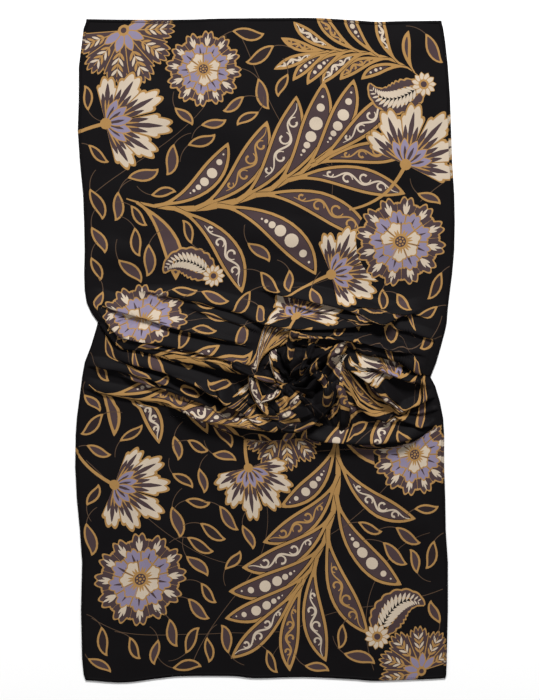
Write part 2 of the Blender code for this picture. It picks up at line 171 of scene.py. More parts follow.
# %% [markdown]
# ## The folds
# A fold in thin cloth is a rounded crest along a bent line, with crisp feet, dying away at both
# ends. Each row gives three points of its crest, its height over the cloth beside it, the half
# widths on its upper and lower side, and how much cloth is tucked away under its lower foot, which
# is what cuts a print off at a fold. The first rows are the large folds of the solids; the rows
# under them are finer creases, which only thin cloth can show.
# A height alone can't hang over, so a fold with tucked cloth also topples: its points move sideways
# over its lower side, by a share of its height. That gives the deep dark creases of real cloth.

# %% Fold tables
FOLD_COLUMNS = ("x0", "y0", "x1", "y1", "x2", "y2", "high", "up", "down", "tuck")


def fold_table(*rows):
    return [dict(zip(FOLD_COLUMNS, row)) for row in rows]


# How much higher the folds stand than their rows say, and how sharply a crest rounds over.
STAND = 1.1
ROUND = 1.8
# A toppling fold's lower side is this much narrower than drawn, and its crest hangs over this far.
LEAN = 0.5
OVERHANG = 0.62
# The share of a thread, at both ends, in which nothing topples.
CALM = 0.06
# How much cloth a fold tucks away against its row, and how near the crest a thread has to pass.
TUCK = 1.5
TUCK_REACH = 20.0


UPPER_FOLDS = fold_table(
    (-20, 120, 119, 95, 266, 52, 14, 22, 14, 34),
    (-60, 74, 112, 50, 312, 88, 15, 20, 13, 36),
    (30, 96, 120, 74, 214, 62, 5, 9, 8, 10),
    (26, 26, 150, 28, 318, -12, 13, 11, 12, 24),
    (-300, 34, -150, 10, 0, -30, 12, 22, 17, 16),
    (-342, 104, -185, 56, 5, 14, 9, 24, 18, 12),
    (-326, 92, -300, 60, -262, 24, 7, 15, 13, 8),
    (-260, 122, -120, 96, -10, 66, 6, 24, 18, 8),
    # the two lips stand up along their own lines
    (-296, 38, -160, -10, -12, -34, 7, 12, 26, 0),
    (172, 12, 238, -8, 306, -40, 7, 12, 26, 0),
    # finer creases
    (20, 40, 110, 38, 200, 34, 5, 7, 6, 14),
    (150, 96, 230, 84, 316, 62, 5, 12, 8, 10),
    (-210, 60, -110, 34, -10, 2, 4, 11, 9, 6),
    (-150, 84, -70, 60, 10, 30, 4, 10, 9, 6),
    (-250, 14, -160, -4, -60, -28, 3, 9, 8, 4),
    (190, 22, 240, 8, 300, -26, 4, 8, 7, 9),
    (230, 46, 290, 34, 338, 10, 6, 14, 9, 12),
)
LEFT_FOLDS = fold_table(
    (-306, -8, -150, -44, -20, -118, 15, 22, 18, 26),
    (-90, -52, -42, -104, 50, -152, 12, 15, 14, 14),
    (-196, -104, -90, -124, 70, -150, 18, 18, 24, 26),
    (-290, -42, -170, -74, -26, -134, 9, 13, 12, 20),
    (-350, -26, -250, -36, -160, -66, 9, 15, 14, 14),
    (-356, -62, -260, -84, -150, -96, 6, 18, 16, 8),
    # finer creases
    (-200, -42, -120, -62, -40, -112, 4, 9, 8, 5),
    (-60, -56, -26, -96, 30, -132, 5, 8, 7, 8),
    (-120, -58, -70, -92, 0, -140, 4, 9, 8, 5),
    (-260, -34, -200, -52, -120, -88, 3, 10, 9, 3),
    (-36, -50, -14, -84, 24, -118, 5, 7, 6, 8),
)
RIGHT_FOLDS = fold_table(
    (140, -20, 198, -50, 256, -118, 16, 22, 18, 18),
    (160, -10, 232, -36, 322, -70, 12, 13, 13, 18),
    (136, -58, 144, -108, 150, -158, 11, 12, 12, 0),
    (238, -118, 282, -98, 332, -80, 11, 11, 12, 14),
    (238, -112, 282, -134, 328, -138, 10, 10, 11, 14),
    (50, -148, 180, -164, 322, -146, 17, 18, 24, 8),
    (168, -84, 200, -116, 256, -134, 10, 12, 12, 14),
    # finer creases
    (150, -30, 184, -70, 236, -120, 4, 7, 7, 4),
    (180, -22, 224, -58, 262, -108, 4, 8, 8, 5),
    (206, -18, 262, -44, 318, -60, 4, 7, 7, 5),
    (128, -80, 128, -118, 136, -152, 6, 6, 6, 0),
    (158, -92, 164, -124, 168, -156, 5, 6, 6, 0),
    (146, -40, 152, -84, 182, -136, 4, 7, 6, 0),
    (262, -116, 296, -116, 334, -108, 4, 7, 7, 3),
)
PANEL_WAVES = fold_table(
    (-300, 470, -120, 430, 80, 330, 3, 60, 50, 0),
    (40, 560, 180, 420, 330, 330, 3, 55, 45, 0),
    (-60, 240, 60, 215, 300, 200, 4, 40, 34, 0),
    (-330, 190, -230, 175, -120, 180, 4, 34, 30, 0),
    (-320, -190, -220, -300, -190, -430, 3, 45, 50, 0),
    (90, -215, 120, -300, 60, -420, 4, 34, 34, 0),
    (230, -215, 262, -290, 300, -360, 4, 36, 36, 0),
    (-120, -205, -60, -260, -20, -340, 3, 34, 34, 0),
    (180, -430, 120, -500, 90, -560, 3, 50, 50, 0),
)
# The hidden layers under the gather: lumps with centre, half sizes and height.
MOUND_COLUMNS = ("x", "y", "wide", "deep", "high")
MOUNDS = [dict(zip(MOUND_COLUMNS, row)) for row in (
    (44, -62, 150, 80, 18),
    (-170, -20, 150, 52, 7),
    (215, -40, 130, 70, 9),
)]
FOLD_SAMPLES = 61
FOLD_FADE = 0.22
FOLD_MARGIN = 4.0
large_and_fine = len(UPPER_FOLDS) + len(LEFT_FOLDS) + len(RIGHT_FOLDS)
print("folds: %d, and %d soft waves in the panels" % (large_and_fine, len(PANEL_WAVES)))

# %% The height of a fold, and how it topples
def along_fold(fold, x, y):
    """Signed distance from a fold's crest (plus on its upper side) and the share of the way along."""
    line = bent_line(fold, FOLD_SAMPLES)
    run = np.gradient(line, axis=0)
    step = np.linalg.norm(run, axis=1)
    near = np.argmin((x[:, None] - line[:, 0]) ** 2 + (y[:, None] - line[:, 1]) ** 2, axis=1)
    gap_x = x - line[near, 0]
    gap_y = y - line[near, 1]
    side = (run[near, 0] * gap_y - run[near, 1] * gap_x) / step[near]
    forward = (run[near, 0] * gap_x + run[near, 1] * gap_y) / step[near] ** 2
    return side, (near + forward) / (FOLD_SAMPLES - 1)


def fold_fade(place):
    return plateau(place, 0.0, FOLD_FADE, 1.0, FOLD_FADE)


def lower_width(fold):
    return fold["down"] * (LEAN if fold["tuck"] else 1.0)


def fold_height(fold, x, y):
    side, place = along_fold(fold, x, y)
    share = np.abs(side) / np.where(side > 0, fold["up"], lower_width(fold))
    return STAND * fold["high"] * fold_fade(place) * np.clip(1.0 - share ** ROUND, 0.0, None)


def folds_at(folds, x, y):
    """Height of the folds at places of any shape."""
    shape = np.shape(x)
    x = np.ravel(np.asarray(x, float))
    y = np.ravel(np.asarray(y, float))
    high = np.zeros(len(x))
    for fold in folds:
        reach = max(fold["up"], fold["down"]) + FOLD_MARGIN
        xs = [fold["x0"], fold["x1"], fold["x2"]]
        ys = [fold["y0"], fold["y1"], fold["y2"]]
        near = (x > min(xs) - reach) & (x < max(xs) + reach)
        near &= (y > min(ys) - reach) & (y < max(ys) + reach)
        if near.any():
            high[near] += fold_height(fold, x[near], y[near])
    return high.reshape(shape)


def leaning(folds, x, y):
    """How far places move sideways as the folds with tucked cloth topple over their lower sides."""
    shift = np.zeros(x.shape + (2,))
    for fold in folds:
        if fold["tuck"]:
            lower = np.array([fold["y2"] - fold["y0"], fold["x0"] - fold["x2"]])
            high = fold_height(fold, x.ravel(), y.ravel()).reshape(x.shape)
            shift += OVERHANG * high[..., None] * lower / np.linalg.norm(lower)
    return shift


def calm_ends(*counts):
    """A share for each place of a grid: nothing at the ends of its rows and columns, whole between."""
    columns, rows = (plateau(np.linspace(0.0, 1.0, count), 0.0, CALM, 1.0, CALM) for count in counts)
    return (columns[:, None] * rows)[..., None]


def tucked_by(folds, x, y, weight=1.0):
    """Cloth tucked away so far by each thread (a row of places) as it crosses the folds."""
    total = np.zeros(x.shape)
    for fold in folds:
        if not fold["tuck"]:
            continue
        side, place = along_fold(fold, x.ravel(), y.ravel())
        side, place = side.reshape(x.shape), place.reshape(x.shape)
        held = smooth_step(-side / lower_width(fold))
        gain = np.clip(np.diff(held, axis=1), 0.0, None) * (np.abs(side[:, 1:]) < TUCK_REACH)
        amount = TUCK * fold["tuck"] * fold_fade(place) * weight
        total[:, 1:] += np.cumsum(gain * amount[:, 1:], axis=1)
    return total


print("a fold fades away over %.0f %% of its length at both ends" % (100 * FOLD_FADE))

# %% Hidden layers, ripples and the height of the cloth
def mound_height(x, y):
    total = np.zeros(np.shape(x))
    for lump in MOUNDS:
        far = ((x - lump["x"]) / lump["wide"]) ** 2 + ((y - lump["y"]) / lump["deep"]) ** 2
        total = total + lump["high"] * np.exp(-far)
    return total


# Soft ripples that run through all of the cloth: wave lengths across and along, turn, height.
RIPPLES = (
    (210.0, 340.0, 0.4, 0.8),
    (120.0, 260.0, -0.7, 0.5),
    (64.0, 150.0, 0.9, 0.22),
    (300.0, 90.0, 0.2, 0.4),
)
CLOTH = 2.0


def ripple_height(x, y):
    total = np.zeros(np.shape(x))
    for k, (across, down, turn, high) in enumerate(RIPPLES):
        a = x * math.cos(turn) + y * math.sin(turn)
        b = y * math.cos(turn) - x * math.sin(turn)
        wave = high * np.sin(a * 2 * math.pi / across + k)
        total = total + wave * np.sin(b * 2 * math.pi / down + 2 * k)
    return total


def panel_height(x, y):
    return CLOTH + np.maximum(folds_at(PANEL_WAVES, x, y) + ripple_height(x, y), 0.0)


# The gathered cloth lies on hidden layers: it climbs onto them over CLIMB, and its folds set in
# over SET_IN. A span says where along x the layers begin, how far they rise, where they end, and
# how far they fall.
GATHER_BASE = CLOTH + 0.6
CLIMB = 90.0
SET_IN = 14.0
UPPER_SPAN = (-352.0, 60.0, 362.0, 60.0)
UNDER_SPAN = (-362.0, 50.0, 350.0, 50.0)
EDGE_LAYERS = 3.0
INNER_LAYERS = 4.0
UNDER_MOUND = 0.75
SIDES_MEET = (40.0, 80.0)


def upper_height(x, y):
    """The folded cloth above the lip."""
    start = np.interp(x, FOLD_START[:, 0], FOLD_START[:, 1])
    climb = smooth_step((start - y) / CLIMB)
    own = smooth_step((start - y) / SET_IN)
    flat = panel_height(x, y) * (1.0 - climb) + GATHER_BASE * climb
    layers = EDGE_LAYERS + INNER_LAYERS * plateau(x, *UPPER_SPAN) + mound_height(x, y)
    return flat + climb * layers + own * folds_at(UPPER_FOLDS, x, y)


def right_share(x):
    """Which of the under cloth's folds count: 0 for the left ones, 1 for the right ones."""
    return smooth_step((x - SIDES_MEET[0]) / (SIDES_MEET[1] - SIDES_MEET[0]))


def under_height(x, y):
    """The cloth below the lip: its hidden layers and folds, left and right of the swirl."""
    share = right_share(x)
    folds = folds_at(LEFT_FOLDS, x, y) * (1.0 - share) + folds_at(RIGHT_FOLDS, x, y) * share
    return GATHER_BASE + plateau(x, *UNDER_SPAN) * UNDER_MOUND * mound_height(x, y) + folds


print("hidden layers at the eye of the swirl: %.0f mm" % mound_height(*EYE))

# %% [markdown]
# ## Laying the cloth
# The upper cloth runs down from the top end, climbs over the folds and rounds over its lip. The
# under cloth starts hidden below that lip, runs over its own folds, rolls over the lower panel and
# comes out again under the roll, one cloth all the way to the bottom end. Both are laid as columns,
# like warp threads: a path for each thread, with the length of cloth that it has used so far. That
# length is what places the print, so that the print squeezes and breaks where the cloth folds.

# %% Threads of the cloth
WIDTH = 700.0
LENGTH = 1800.0
COLUMNS = 281
EDGE_INSET = 3.0
# The cloth slopes up from its long edges: its height there, and the slope.
EDGE_HIGH = 2.3
EDGE_SLOPE = 0.8
# The share of the width in which a thread follows the long edge beside it.
EDGE_BAND = 0.12
# A lip's nose: how far it reaches, its steps, how far the cloth runs back under it, the gap below.
NOSE = 5.0
NOSE_TURNS = np.radians(np.arange(15, 181, 15))
TUCKED_BACK = 14.0
CLEAR = 1.2
# A lip's foot lies at least at this share of its height, and a lip with no room has no nose.
FOOT_SHARE = 0.45
NOSE_ROOM = 5.0
# The least cloth between two points of a thread.
TINY = 0.02
shares = np.linspace(0.0, 1.0, COLUMNS)
print("threads: %d, %.1f mm apart" % (COLUMNS, WIDTH / (COLUMNS - 1)))


def inner_edges(y):
    """The x of the outermost threads, left and right, at height y."""
    return edge_x(y, 1) + EDGE_INSET, edge_x(y, 2) - EDGE_INSET


def side_cap(x, y, tops):
    """Pulls the cloth down to the surface at the long edges."""
    run = np.minimum(x - edge_x(y, 1), edge_x(y, 2) - x)
    return np.minimum(tops, EDGE_HIGH + EDGE_SLOPE * np.clip(run - EDGE_INSET, 0.0, None))


def between(a, b, share):
    """Places from line a to line b, bent so that the outermost threads follow the long edges."""
    x = a[:, None, 0] + (b[:, None, 0] - a[:, None, 0]) * share
    y = a[:, None, 1] + (b[:, None, 1] - a[:, None, 1]) * share
    place = np.arange(len(a))[:, None] / (len(a) - 1.0)
    for end, gap, edge in zip((0, -1), (place, 1.0 - place), inner_edges(y)):
        straight = a[end, 0] + (b[end, 0] - a[end, 0]) * share
        x = x + smooth_step(1.0 - gap / EDGE_BAND) * (edge - straight)
    return x, y


def end_places(line, inset):
    """Where the threads meet a short end of the scarf."""
    x = line[0, 0] + EDGE_INSET + shares * (line[-1, 0] - line[0, 0] - 2 * EDGE_INSET)
    return np.column_stack([x, np.interp(x, line[:, 0], line[:, 1]) + inset])


def onward(a, b):
    """Unit directions from the places of one line to those of another."""
    run = b - a
    return run / np.linalg.norm(run, axis=1)[:, None]


def nose_path(edge_point, out, edge, foot, reach, back, floor):
    """A lip rounding over from its edge height to its foot and running back underneath."""
    turns = NOSE_TURNS[None, :]
    nose = (reach * NOSE)[:, None, None] * np.sin(turns)[..., None]
    over = edge_point[:, None, :] + nose * out[:, None, :]
    level = foot[:, None] + (edge - foot)[:, None] * (0.5 + 0.5 * np.cos(turns))
    front = np.dstack([over, level])
    steps = np.linspace(0.25, 1.0, 4)[None, :]
    under = edge_point[:, None, :] - (back[:, None] * steps)[..., None] * out[:, None, :]
    sunk = foot[:, None] + (floor - foot)[:, None] * steps
    return front, np.dstack([under, sunk])


def used_length(points, tuck):
    """The cloth that each thread has used up at each of its points."""
    step = np.linalg.norm(np.diff(points, axis=1), axis=2)
    run = np.concatenate([np.zeros((len(points), 1)), np.cumsum(step, axis=1)], axis=1) + tuck
    run = np.maximum.accumulate(run, axis=1)
    return run + TINY * np.arange(points.shape[1])[None, :]


def evened(values, width=13):
    """A running mean along the columns, so that neighbouring threads behave alike."""
    padded = np.pad(values, width // 2, mode="edge")
    return np.convolve(padded, np.ones(width) / width, mode="valid")

# %% Threads of the upper cloth
PANEL_ROWS = 84
GATHER_ROWS = 116
# At the swirl the lip lies on its pleats: where along x, and how thick the lip is there.
SWIRL_SPAN = (-55.0, 30.0, 195.0, 25.0)
SWIRL_LIP = 9.0
lip_columns = at_shares(lip_over, shares)
start_columns = at_shares(start_line, shares)


def lay_upper_cloth():
    """Threads from the top end, over the folds and round the lip."""
    top = end_places(TOP_LINE, -EDGE_INSET)
    x, y = between(top, start_columns, np.linspace(0.0, 1.0, PANEL_ROWS)[None, :])
    low, high = inner_edges(y)
    x = low + shares[:, None] * (high - low)
    panel = np.dstack([x, y, side_cap(x, y, panel_height(x, y))])
    x, y = between(start_columns, lip_columns, np.linspace(0.0, 1.0, GATHER_ROWS)[None, :])
    tops = side_cap(x, y, upper_height(x, y))
    tuck = np.apply_along_axis(evened, 0, tucked_by(UPPER_FOLDS, x, y))
    lean = leaning(UPPER_FOLDS, x, y) * calm_ends(COLUMNS, GATHER_ROWS)
    gather = np.dstack([x + lean[..., 0], y + lean[..., 1], tops])
    out = onward(start_columns, lip_columns)
    edge = tops[:, -1]
    tip = lip_columns + NOSE * out
    lying_on = np.maximum(under_height(*lip_columns.T), under_height(*tip.T))
    foot = np.maximum(FOOT_SHARE * edge, lying_on + CLEAR)
    foot = foot + plateau(lip_columns[:, 0], *SWIRL_SPAN) * (edge - SWIRL_LIP - foot)
    reach = smooth_step((edge - foot) / NOSE_ROOM)
    foot = edge + smooth_step(reach * NOSE_ROOM) * (foot - edge)
    back = reach * TUCKED_BACK + TINY
    front, under = nose_path(lip_columns, out, edge, foot, reach, back, foot - 1.0)
    points = np.concatenate([panel, gather[:, 1:], front, under], axis=1)
    before = PANEL_ROWS - 1
    after = points.shape[1] - before - GATHER_ROWS
    tuck = np.pad(tuck, ((0, 0), (before, 0)))
    tuck = np.pad(tuck, ((0, 0), (0, after)), mode="edge")
    return points, used_length(points, tuck)


upper_points, upper_used = lay_upper_cloth()
lip_used = upper_used[:, -1]
print("upper cloth: %.0f to %.0f mm of cloth down to its lip" % (lip_used.min(), lip_used.max()))

# %% Threads of the under cloth
# The share of the way along the rim's lower line at which its lowest point lies.
SWIRL_BOTTOM = 12.0 / 27.0
UNDER_ROWS = 110
LOWER_ROWS = 84
ROLL_TUCK = 70.0
# Where along x the roll hangs over the lower panel.
ROLL_SPAN = (-300.0, 240.0, 335.0, 60.0)
# The hidden start of the threads: how far back it lies, and how high.
UNDER_START = 12.0
HIDDEN_LOW = 0.8
# Where there is no roll, the cloth settles onto the lower panel over this length.
SETTLE = 26.0
split = int(np.argmin(np.abs(roll_line[:, 0] - ROLL_SPLIT_X)))
split_share = (ROLL_SPLIT_X - roll_line[0, 0]) / (roll_line[-1, 0] - roll_line[0, 0])
left_count = int(round(split_share * (COLUMNS - 1))) + 1
bottom_of_rim = int(SWIRL_BOTTOM * (LINE_POINTS - 1))
lip_left = lip_over[:LINE_POINTS]
lip_right = lip_over[-LINE_POINTS:]
left_top = np.vstack([lip_left[:-1], rim_under[:bottom_of_rim + 1]])
right_top = np.vstack([rim_under[bottom_of_rim:-1], lip_right])


def two_halves(left, right):
    """One line of thread places from its left and right halves, which meet below the swirl."""
    first = at_shares(left, np.linspace(0.0, 1.0, left_count))
    second = at_shares(right, np.linspace(0.0, 1.0, COLUMNS - left_count + 1))
    return np.vstack([first, second[1:]])


under_columns = two_halves(left_top, right_top)
roll_columns = two_halves(roll_line[:split + 1], roll_line[split:])


def lay_over_folds():
    """The threads from below the lip to the roll's edge, and the cloth that they tuck away."""
    x, y = between(under_columns, roll_columns, np.linspace(0.0, 1.0, UNDER_ROWS)[None, :])
    tops = side_cap(x, y, under_height(x, y))
    share = right_share(x)
    tuck = tucked_by(LEFT_FOLDS, x, y, 1.0 - share) + tucked_by(RIGHT_FOLDS, x, y, share)
    share = share[..., None]
    lean = leaning(LEFT_FOLDS, x, y) * (1.0 - share) + leaning(RIGHT_FOLDS, x, y) * share
    lean *= calm_ends(COLUMNS, UNDER_ROWS)
    over = np.dstack([x + lean[..., 0], y + lean[..., 1], tops])
    return over, np.apply_along_axis(evened, 0, tuck)


def lay_lower_panel(begin, edge, reach):
    """The threads from under the roll down to the bottom end."""
    bottom = end_places(BOTTOM_LINE, EDGE_INSET)
    step = np.linspace(0.0, 1.0, LOWER_ROWS)[None, :]
    y = begin[:, None, 1] + (bottom[:, None, 1] - begin[:, None, 1]) * step
    low, high = inner_edges(y)
    own = (roll_columns[:, 0] - roll_columns[0, 0]) / (roll_columns[-1, 0] - roll_columns[0, 0])
    across = own[:, None] + (shares - own)[:, None] * smooth_step(step / 0.5)
    x = low + across * (high - low)
    flat = side_cap(x, y, panel_height(x, y))
    settle = (1.0 - reach[:, None]) * (1.0 - smooth_step((begin[:, None, 1] - y) / SETTLE))
    return np.dstack([x, y, flat + settle * (edge[:, None] - flat)])


def lay_under_cloth():
    """Threads from below the lip, over the roll, under it and down the lower panel."""
    over, tuck = lay_over_folds()
    tops = over[..., 2]
    out = onward(under_columns, roll_columns)
    sunk_steps = np.linspace(1.0, 0.2, 5)[None, :]
    sunk = under_columns[:, None, :] - (UNDER_START * sunk_steps)[..., None] * out[:, None, :]
    sunk_z = HIDDEN_LOW + (tops[:, :1] - HIDDEN_LOW) * (1.0 - smooth_step(sunk_steps))
    hidden = np.dstack([sunk, sunk_z])
    edge = tops[:, -1]
    strength = plateau(roll_columns[:, 0], *ROLL_SPAN)
    tip = roll_columns + NOSE * out
    panel_z = np.maximum(panel_height(*roll_columns.T), panel_height(*tip.T))
    foot = np.maximum(FOOT_SHARE * edge, panel_z + CLEAR)
    reach = strength * evened(smooth_step((edge - foot) / NOSE_ROOM))
    foot = edge + smooth_step(reach * NOSE_ROOM) * (foot - edge)
    floor = foot + reach * (1.0 + CLOTH - foot)
    back = reach * TUCKED_BACK
    front, under = nose_path(roll_columns, out, edge, foot, reach, back + TINY, floor)
    lower = lay_lower_panel(roll_columns - back[:, None] * out, edge, reach)
    points = np.concatenate([hidden, over, front, under, lower[:, 1:]], axis=1)
    before = hidden.shape[1]
    after = points.shape[1] - before - UNDER_ROWS
    tuck = np.pad(tuck, ((0, 0), (before, after)), mode="edge")
    tuck[:, -LOWER_ROWS + 1:] += (ROLL_TUCK * strength)[:, None]
    used = used_length(points, tuck)
    return points, used - used[:, -1:] + (LENGTH - EDGE_INSET), before + UNDER_ROWS


under_points, under_used, roll_row = lay_under_cloth()
first_used = under_used[:, 0]
print("under cloth: starts %.0f to %.0f mm from the top end" % (first_used.min(), first_used.max()))

# %% [markdown]
# ## The print
# The cloth is printed black all over, with gold outlined leaves and flowers in plum, cream and
# lilac. A print is flat, so it is drawn flat: every leaf and petal is an outline worked out from a
# few sizes, painted in order, each colour over the last. The motifs are plain garden ones, drawn
# and set out for this scarf alone.

# %% Inks and outlines
INKS = {
    "ground": (0.0058, 0.0051, 0.0056),
    "gold": (0.322, 0.180, 0.062),
    "plum": (0.056, 0.036, 0.038),
    "cream": (0.472, 0.390, 0.300),
    "lilac": (0.205, 0.174, 0.250),
    "stem": (0.085, 0.052, 0.032),
    "umber": (0.024, 0.016, 0.017),
}
INK_NAMES = list(INKS)
print_shapes = []


def paint(ink, outline):
    """Adds one outline to the print, turned counterclockwise."""
    outline = np.asarray(outline, float)
    after = np.roll(outline, -1, axis=0)
    if (outline[:, 0] * after[:, 1] - after[:, 0] * outline[:, 1]).sum() < 0:
        outline = outline[::-1]
    print_shapes.append((INK_NAMES.index(ink), outline))


def ahead(root, angle, length):
    """The place that lies a length away from root, at an angle in degrees."""
    way = math.radians(angle)
    return np.array(root, float) + length * np.array([math.cos(way), math.sin(way)])


SWEEP = np.linspace(0.0, 1.0, 61)


def swept(root, angle, length, turns, s):
    """Places and side directions on a line that leaves root at an angle and turns, then turns back."""
    way = np.radians(angle + turns[0] * SWEEP + turns[1] * SWEEP ** 2)
    step = length / (len(SWEEP) - 1) * np.column_stack([np.cos(way), np.sin(way)])
    run = np.vstack([[0.0, 0.0], np.cumsum(0.5 * (step[1:] + step[:-1]), axis=0)])
    line = np.array(root, float) + run
    way = np.interp(s, SWEEP, way)
    places = np.column_stack([np.interp(s, SWEEP, line[:, k]) for k in (0, 1)])
    return places, np.column_stack([-np.sin(way), np.cos(way)])


def leaf_half(s, width, belly, tail):
    """Half the width of a leaf at shares of its length."""
    full = 0.5 * width * np.clip(np.sin(math.pi * np.clip(s, 0.0, 1.0) ** belly), 0.0, None) ** 0.85
    return np.maximum(full, tail * (1.0 - s))


def blade(root, angle, length, width, turns=(0.0, 0.0), inset=0.0, belly=1.0, tail=0.0, steps=13):
    """A pointed leaf outline along a swept line, or the same leaf drawn smaller all round."""
    roomy = SWEEP[leaf_half(SWEEP, width, belly, tail) > max(inset, 0.0) + 0.3]
    low, high = (roomy[0], roomy[-1]) if inset > 0 and len(roomy) > 1 else (0.0, 1.0)
    s = low + (high - low) * 0.5 * (1.0 - np.cos(np.linspace(0.0, math.pi, steps)))
    line, side = swept(root, angle, length, turns, s)
    half = np.clip(leaf_half(s, width, belly, tail) - inset, 0.25, None)[:, None]
    return np.vstack([line[:1], (line - half * side)[1:-1], line[-1:], (line + half * side)[-2:0:-1]])


def ribbon(points, widths):
    """The outline of a thin line through points, with a width at each."""
    points = np.asarray(points, float)
    side = sideways(points) * (0.5 * np.asarray(widths, float))[:, None]
    return np.vstack([points - side, (points + side)[::-1]])


def disc(centre, radius, steps=12):
    a = np.linspace(0.0, 2 * math.pi, steps, endpoint=False)
    return np.column_stack([centre[0] + radius * np.cos(a), centre[1] + radius * np.sin(a)])


def stem(root, angle, length, turns=(0.0, 0.0), widths=(1.4, 1.0), ink="stem", steps=12):
    line, _ = swept(root, angle, length, turns, np.linspace(0.0, 1.0, steps))
    paint(ink, ribbon(line, np.linspace(*widths, steps)))


def edged_blade(ink, line, *shape, steps=(13, 10), **style):
    """A pointed leaf or petal with a gold line round it."""
    paint("gold", blade(*shape, steps=steps[0], **style))
    paint(ink, blade(*shape, inset=line, steps=steps[1], **style))


print("inks:", ", ".join(INK_NAMES))

# %% Leaves and sprays
LEAF_LINE = 3.9
LONG_BELLY = 1.55
LONG_LINE = 5.4
LONG_TAIL = 0.085
LONG_GAP = 1.2
# Dots, a scroll and its curls each fill a stretch of a long leaf, in shares of its length.
DOTS = (0.34, 0.96)
# A dot fills a share of the leaf's open half width, and the step to the next one grows with it.
DOT_FILL = 0.62
SMALLEST_DOT = 1.2
DOT_STEP = 5.0
DOT_GROWTH = 2.1
SCROLL = (0.3, 0.94)
SCROLL_SWINGS = 3.5
CURLS = np.arange(0.36, 0.9, 1.0 / 7.0)


def open_half(leaf, s):
    """Half the width inside a long leaf's gold line, at a share of its length."""
    return leaf_half(s, leaf["width"], LONG_BELLY, 0.0) - LONG_LINE


def dot_row(leaf):
    """Cream dots down the middle of a long leaf, growing and shrinking with it."""
    s = DOTS[0]
    while s < DOTS[1]:
        spot, _ = swept(*leaf["sweep"], [s])
        radius = DOT_FILL * open_half(leaf, s) * math.sin(math.pi * (s - 0.28) / 0.72) ** 1.4
        if radius > SMALLEST_DOT:
            paint("cream", disc(spot[0], radius, steps=14))
        s += (DOT_STEP + DOT_GROWTH * max(radius, 0.0)) / leaf["length"]


def scroll(leaf, ink):
    """A line that swings from side to side down a leaf, with a curl in each bay."""
    s = np.linspace(*SCROLL, 50)
    line, side = swept(*leaf["sweep"], s)
    grow = 0.17 * leaf["width"] * np.sin(math.pi * (s - 0.25) / 0.75)
    swing = grow * np.sin(s * 2 * math.pi * SCROLL_SWINGS)
    paint(ink, ribbon(line + swing[:, None] * side, 0.8 + 3.0 * np.sin(math.pi * (s - 0.28) / 0.68)))
    turn = np.linspace(0.0, 1.7 * math.pi, 12)
    for k, s in enumerate(CURLS):
        line, side = swept(*leaf["sweep"], [s])
        side = side[0]
        half = open_half(leaf, s)
        hand = -1.0 if k % 2 else 1.0
        curl = 0.62 * half * (1.0 - 0.55 * turn / turn[-1])
        way = np.array([side[1], -side[0]])
        centre = line[0] - hand * 0.22 * half * side
        spot = centre + curl[:, None] * (np.cos(turn)[:, None] * way + hand * np.sin(turn)[:, None] * side)
        paint(ink, ribbon(spot, np.linspace(2.0, 4.4, 12)))


def long_leaf(root, angle, length, turns, width, kind):
    """A long leaf with its belly near the tip, edged in gold, its middle plum with dots or a scroll."""
    shape = (root, angle, length)
    style = {"turns": turns, "belly": LONG_BELLY}
    tail = LONG_TAIL * width
    paint("ground", blade(*shape, width + 2.4, tail=tail + 1.1, steps=21, **style))
    paint("gold", blade(*shape, width, tail=tail, steps=21, **style))
    if kind == "gold":
        paint("plum", blade(*shape, width, inset=LONG_LINE, steps=11, **style))
        return
    paint("ground", blade(*shape, width, inset=LONG_LINE, steps=19, **style))
    paint("plum", blade(*shape, width, inset=LONG_LINE + LONG_GAP, steps=19, **style))
    leaf = {"sweep": (*shape, turns), "length": length, "width": width}
    if kind == "dots":
        dot_row(leaf)
    else:
        scroll(leaf, "cream" if kind == "scroll" else "gold")


print("curls in a scroll:", len(CURLS))

# %% Sprays
# Each leaf of a spray: how far back on the stalk it starts, and its shape.
SPRAY_COLUMNS = ("back", "angle", "length", "turn", "turn_back", "width", "kind")
SPRAY = [dict(zip(SPRAY_COLUMNS, row)) for row in (
    (0.95, 18, 150, 58, 0, 31, "gold"),
    (0.86, -18, 172, -62, 0, 37, "dots"),
    (0.76, 17, 188, 66, -6, 41, "scroll"),
    (0.66, -16, 198, -62, 4, 44, "vine"),
    (0.55, 15, 208, 64, -8, 47, "dots"),
    (0.45, -15, 210, -62, 6, 47, "scroll"),
    (0.35, 14, 208, 58, -8, 47, "vine"),
    (0.26, -13, 204, -54, 4, 45, "dots"),
    (0.17, 12, 194, 46, -6, 43, "scroll"),
    (0.09, -10, 184, -38, 0, 40, "dots"),
    (0.03, 9, 172, 30, 0, 37, "vine"),
    (0.00, -2, 190, -14, 0, 38, "scroll"),
)]
STALK = 330.0
STALK_TURNS = (34.0, 20.0)
# The stalk's width, at shares of the way back from the spray's tip.
STALK_PLACES = (0.0, 0.6, 1.0)
STALK_WIDTHS = (5.0, 11.0, 2.0)


def spray(root, heading, scale=1.0, hand=1):
    """A palm-like spray: long leaves that leave a tapering, bent stalk one after another."""
    stalk = (root, heading + 180.0, STALK * scale, tuple(turn * hand for turn in STALK_TURNS))
    s = np.linspace(0.0, 1.0, 16)
    line, _ = swept(*stalk, s)
    paint("gold", ribbon(line, np.interp(s, STALK_PLACES, STALK_WIDTHS) * scale))
    for row in SPRAY:
        spot, side = swept(*stalk, [row["back"]])
        way = math.degrees(math.atan2(side[0][0], -side[0][1]))
        turns = (row["turn"] * hand, row["turn_back"] * hand)
        long_leaf(spot[0], way + row["angle"] * hand, row["length"] * scale, turns,
                  row["width"] * scale, row["kind"])


print("long leaves of a spray:", len(SPRAY))

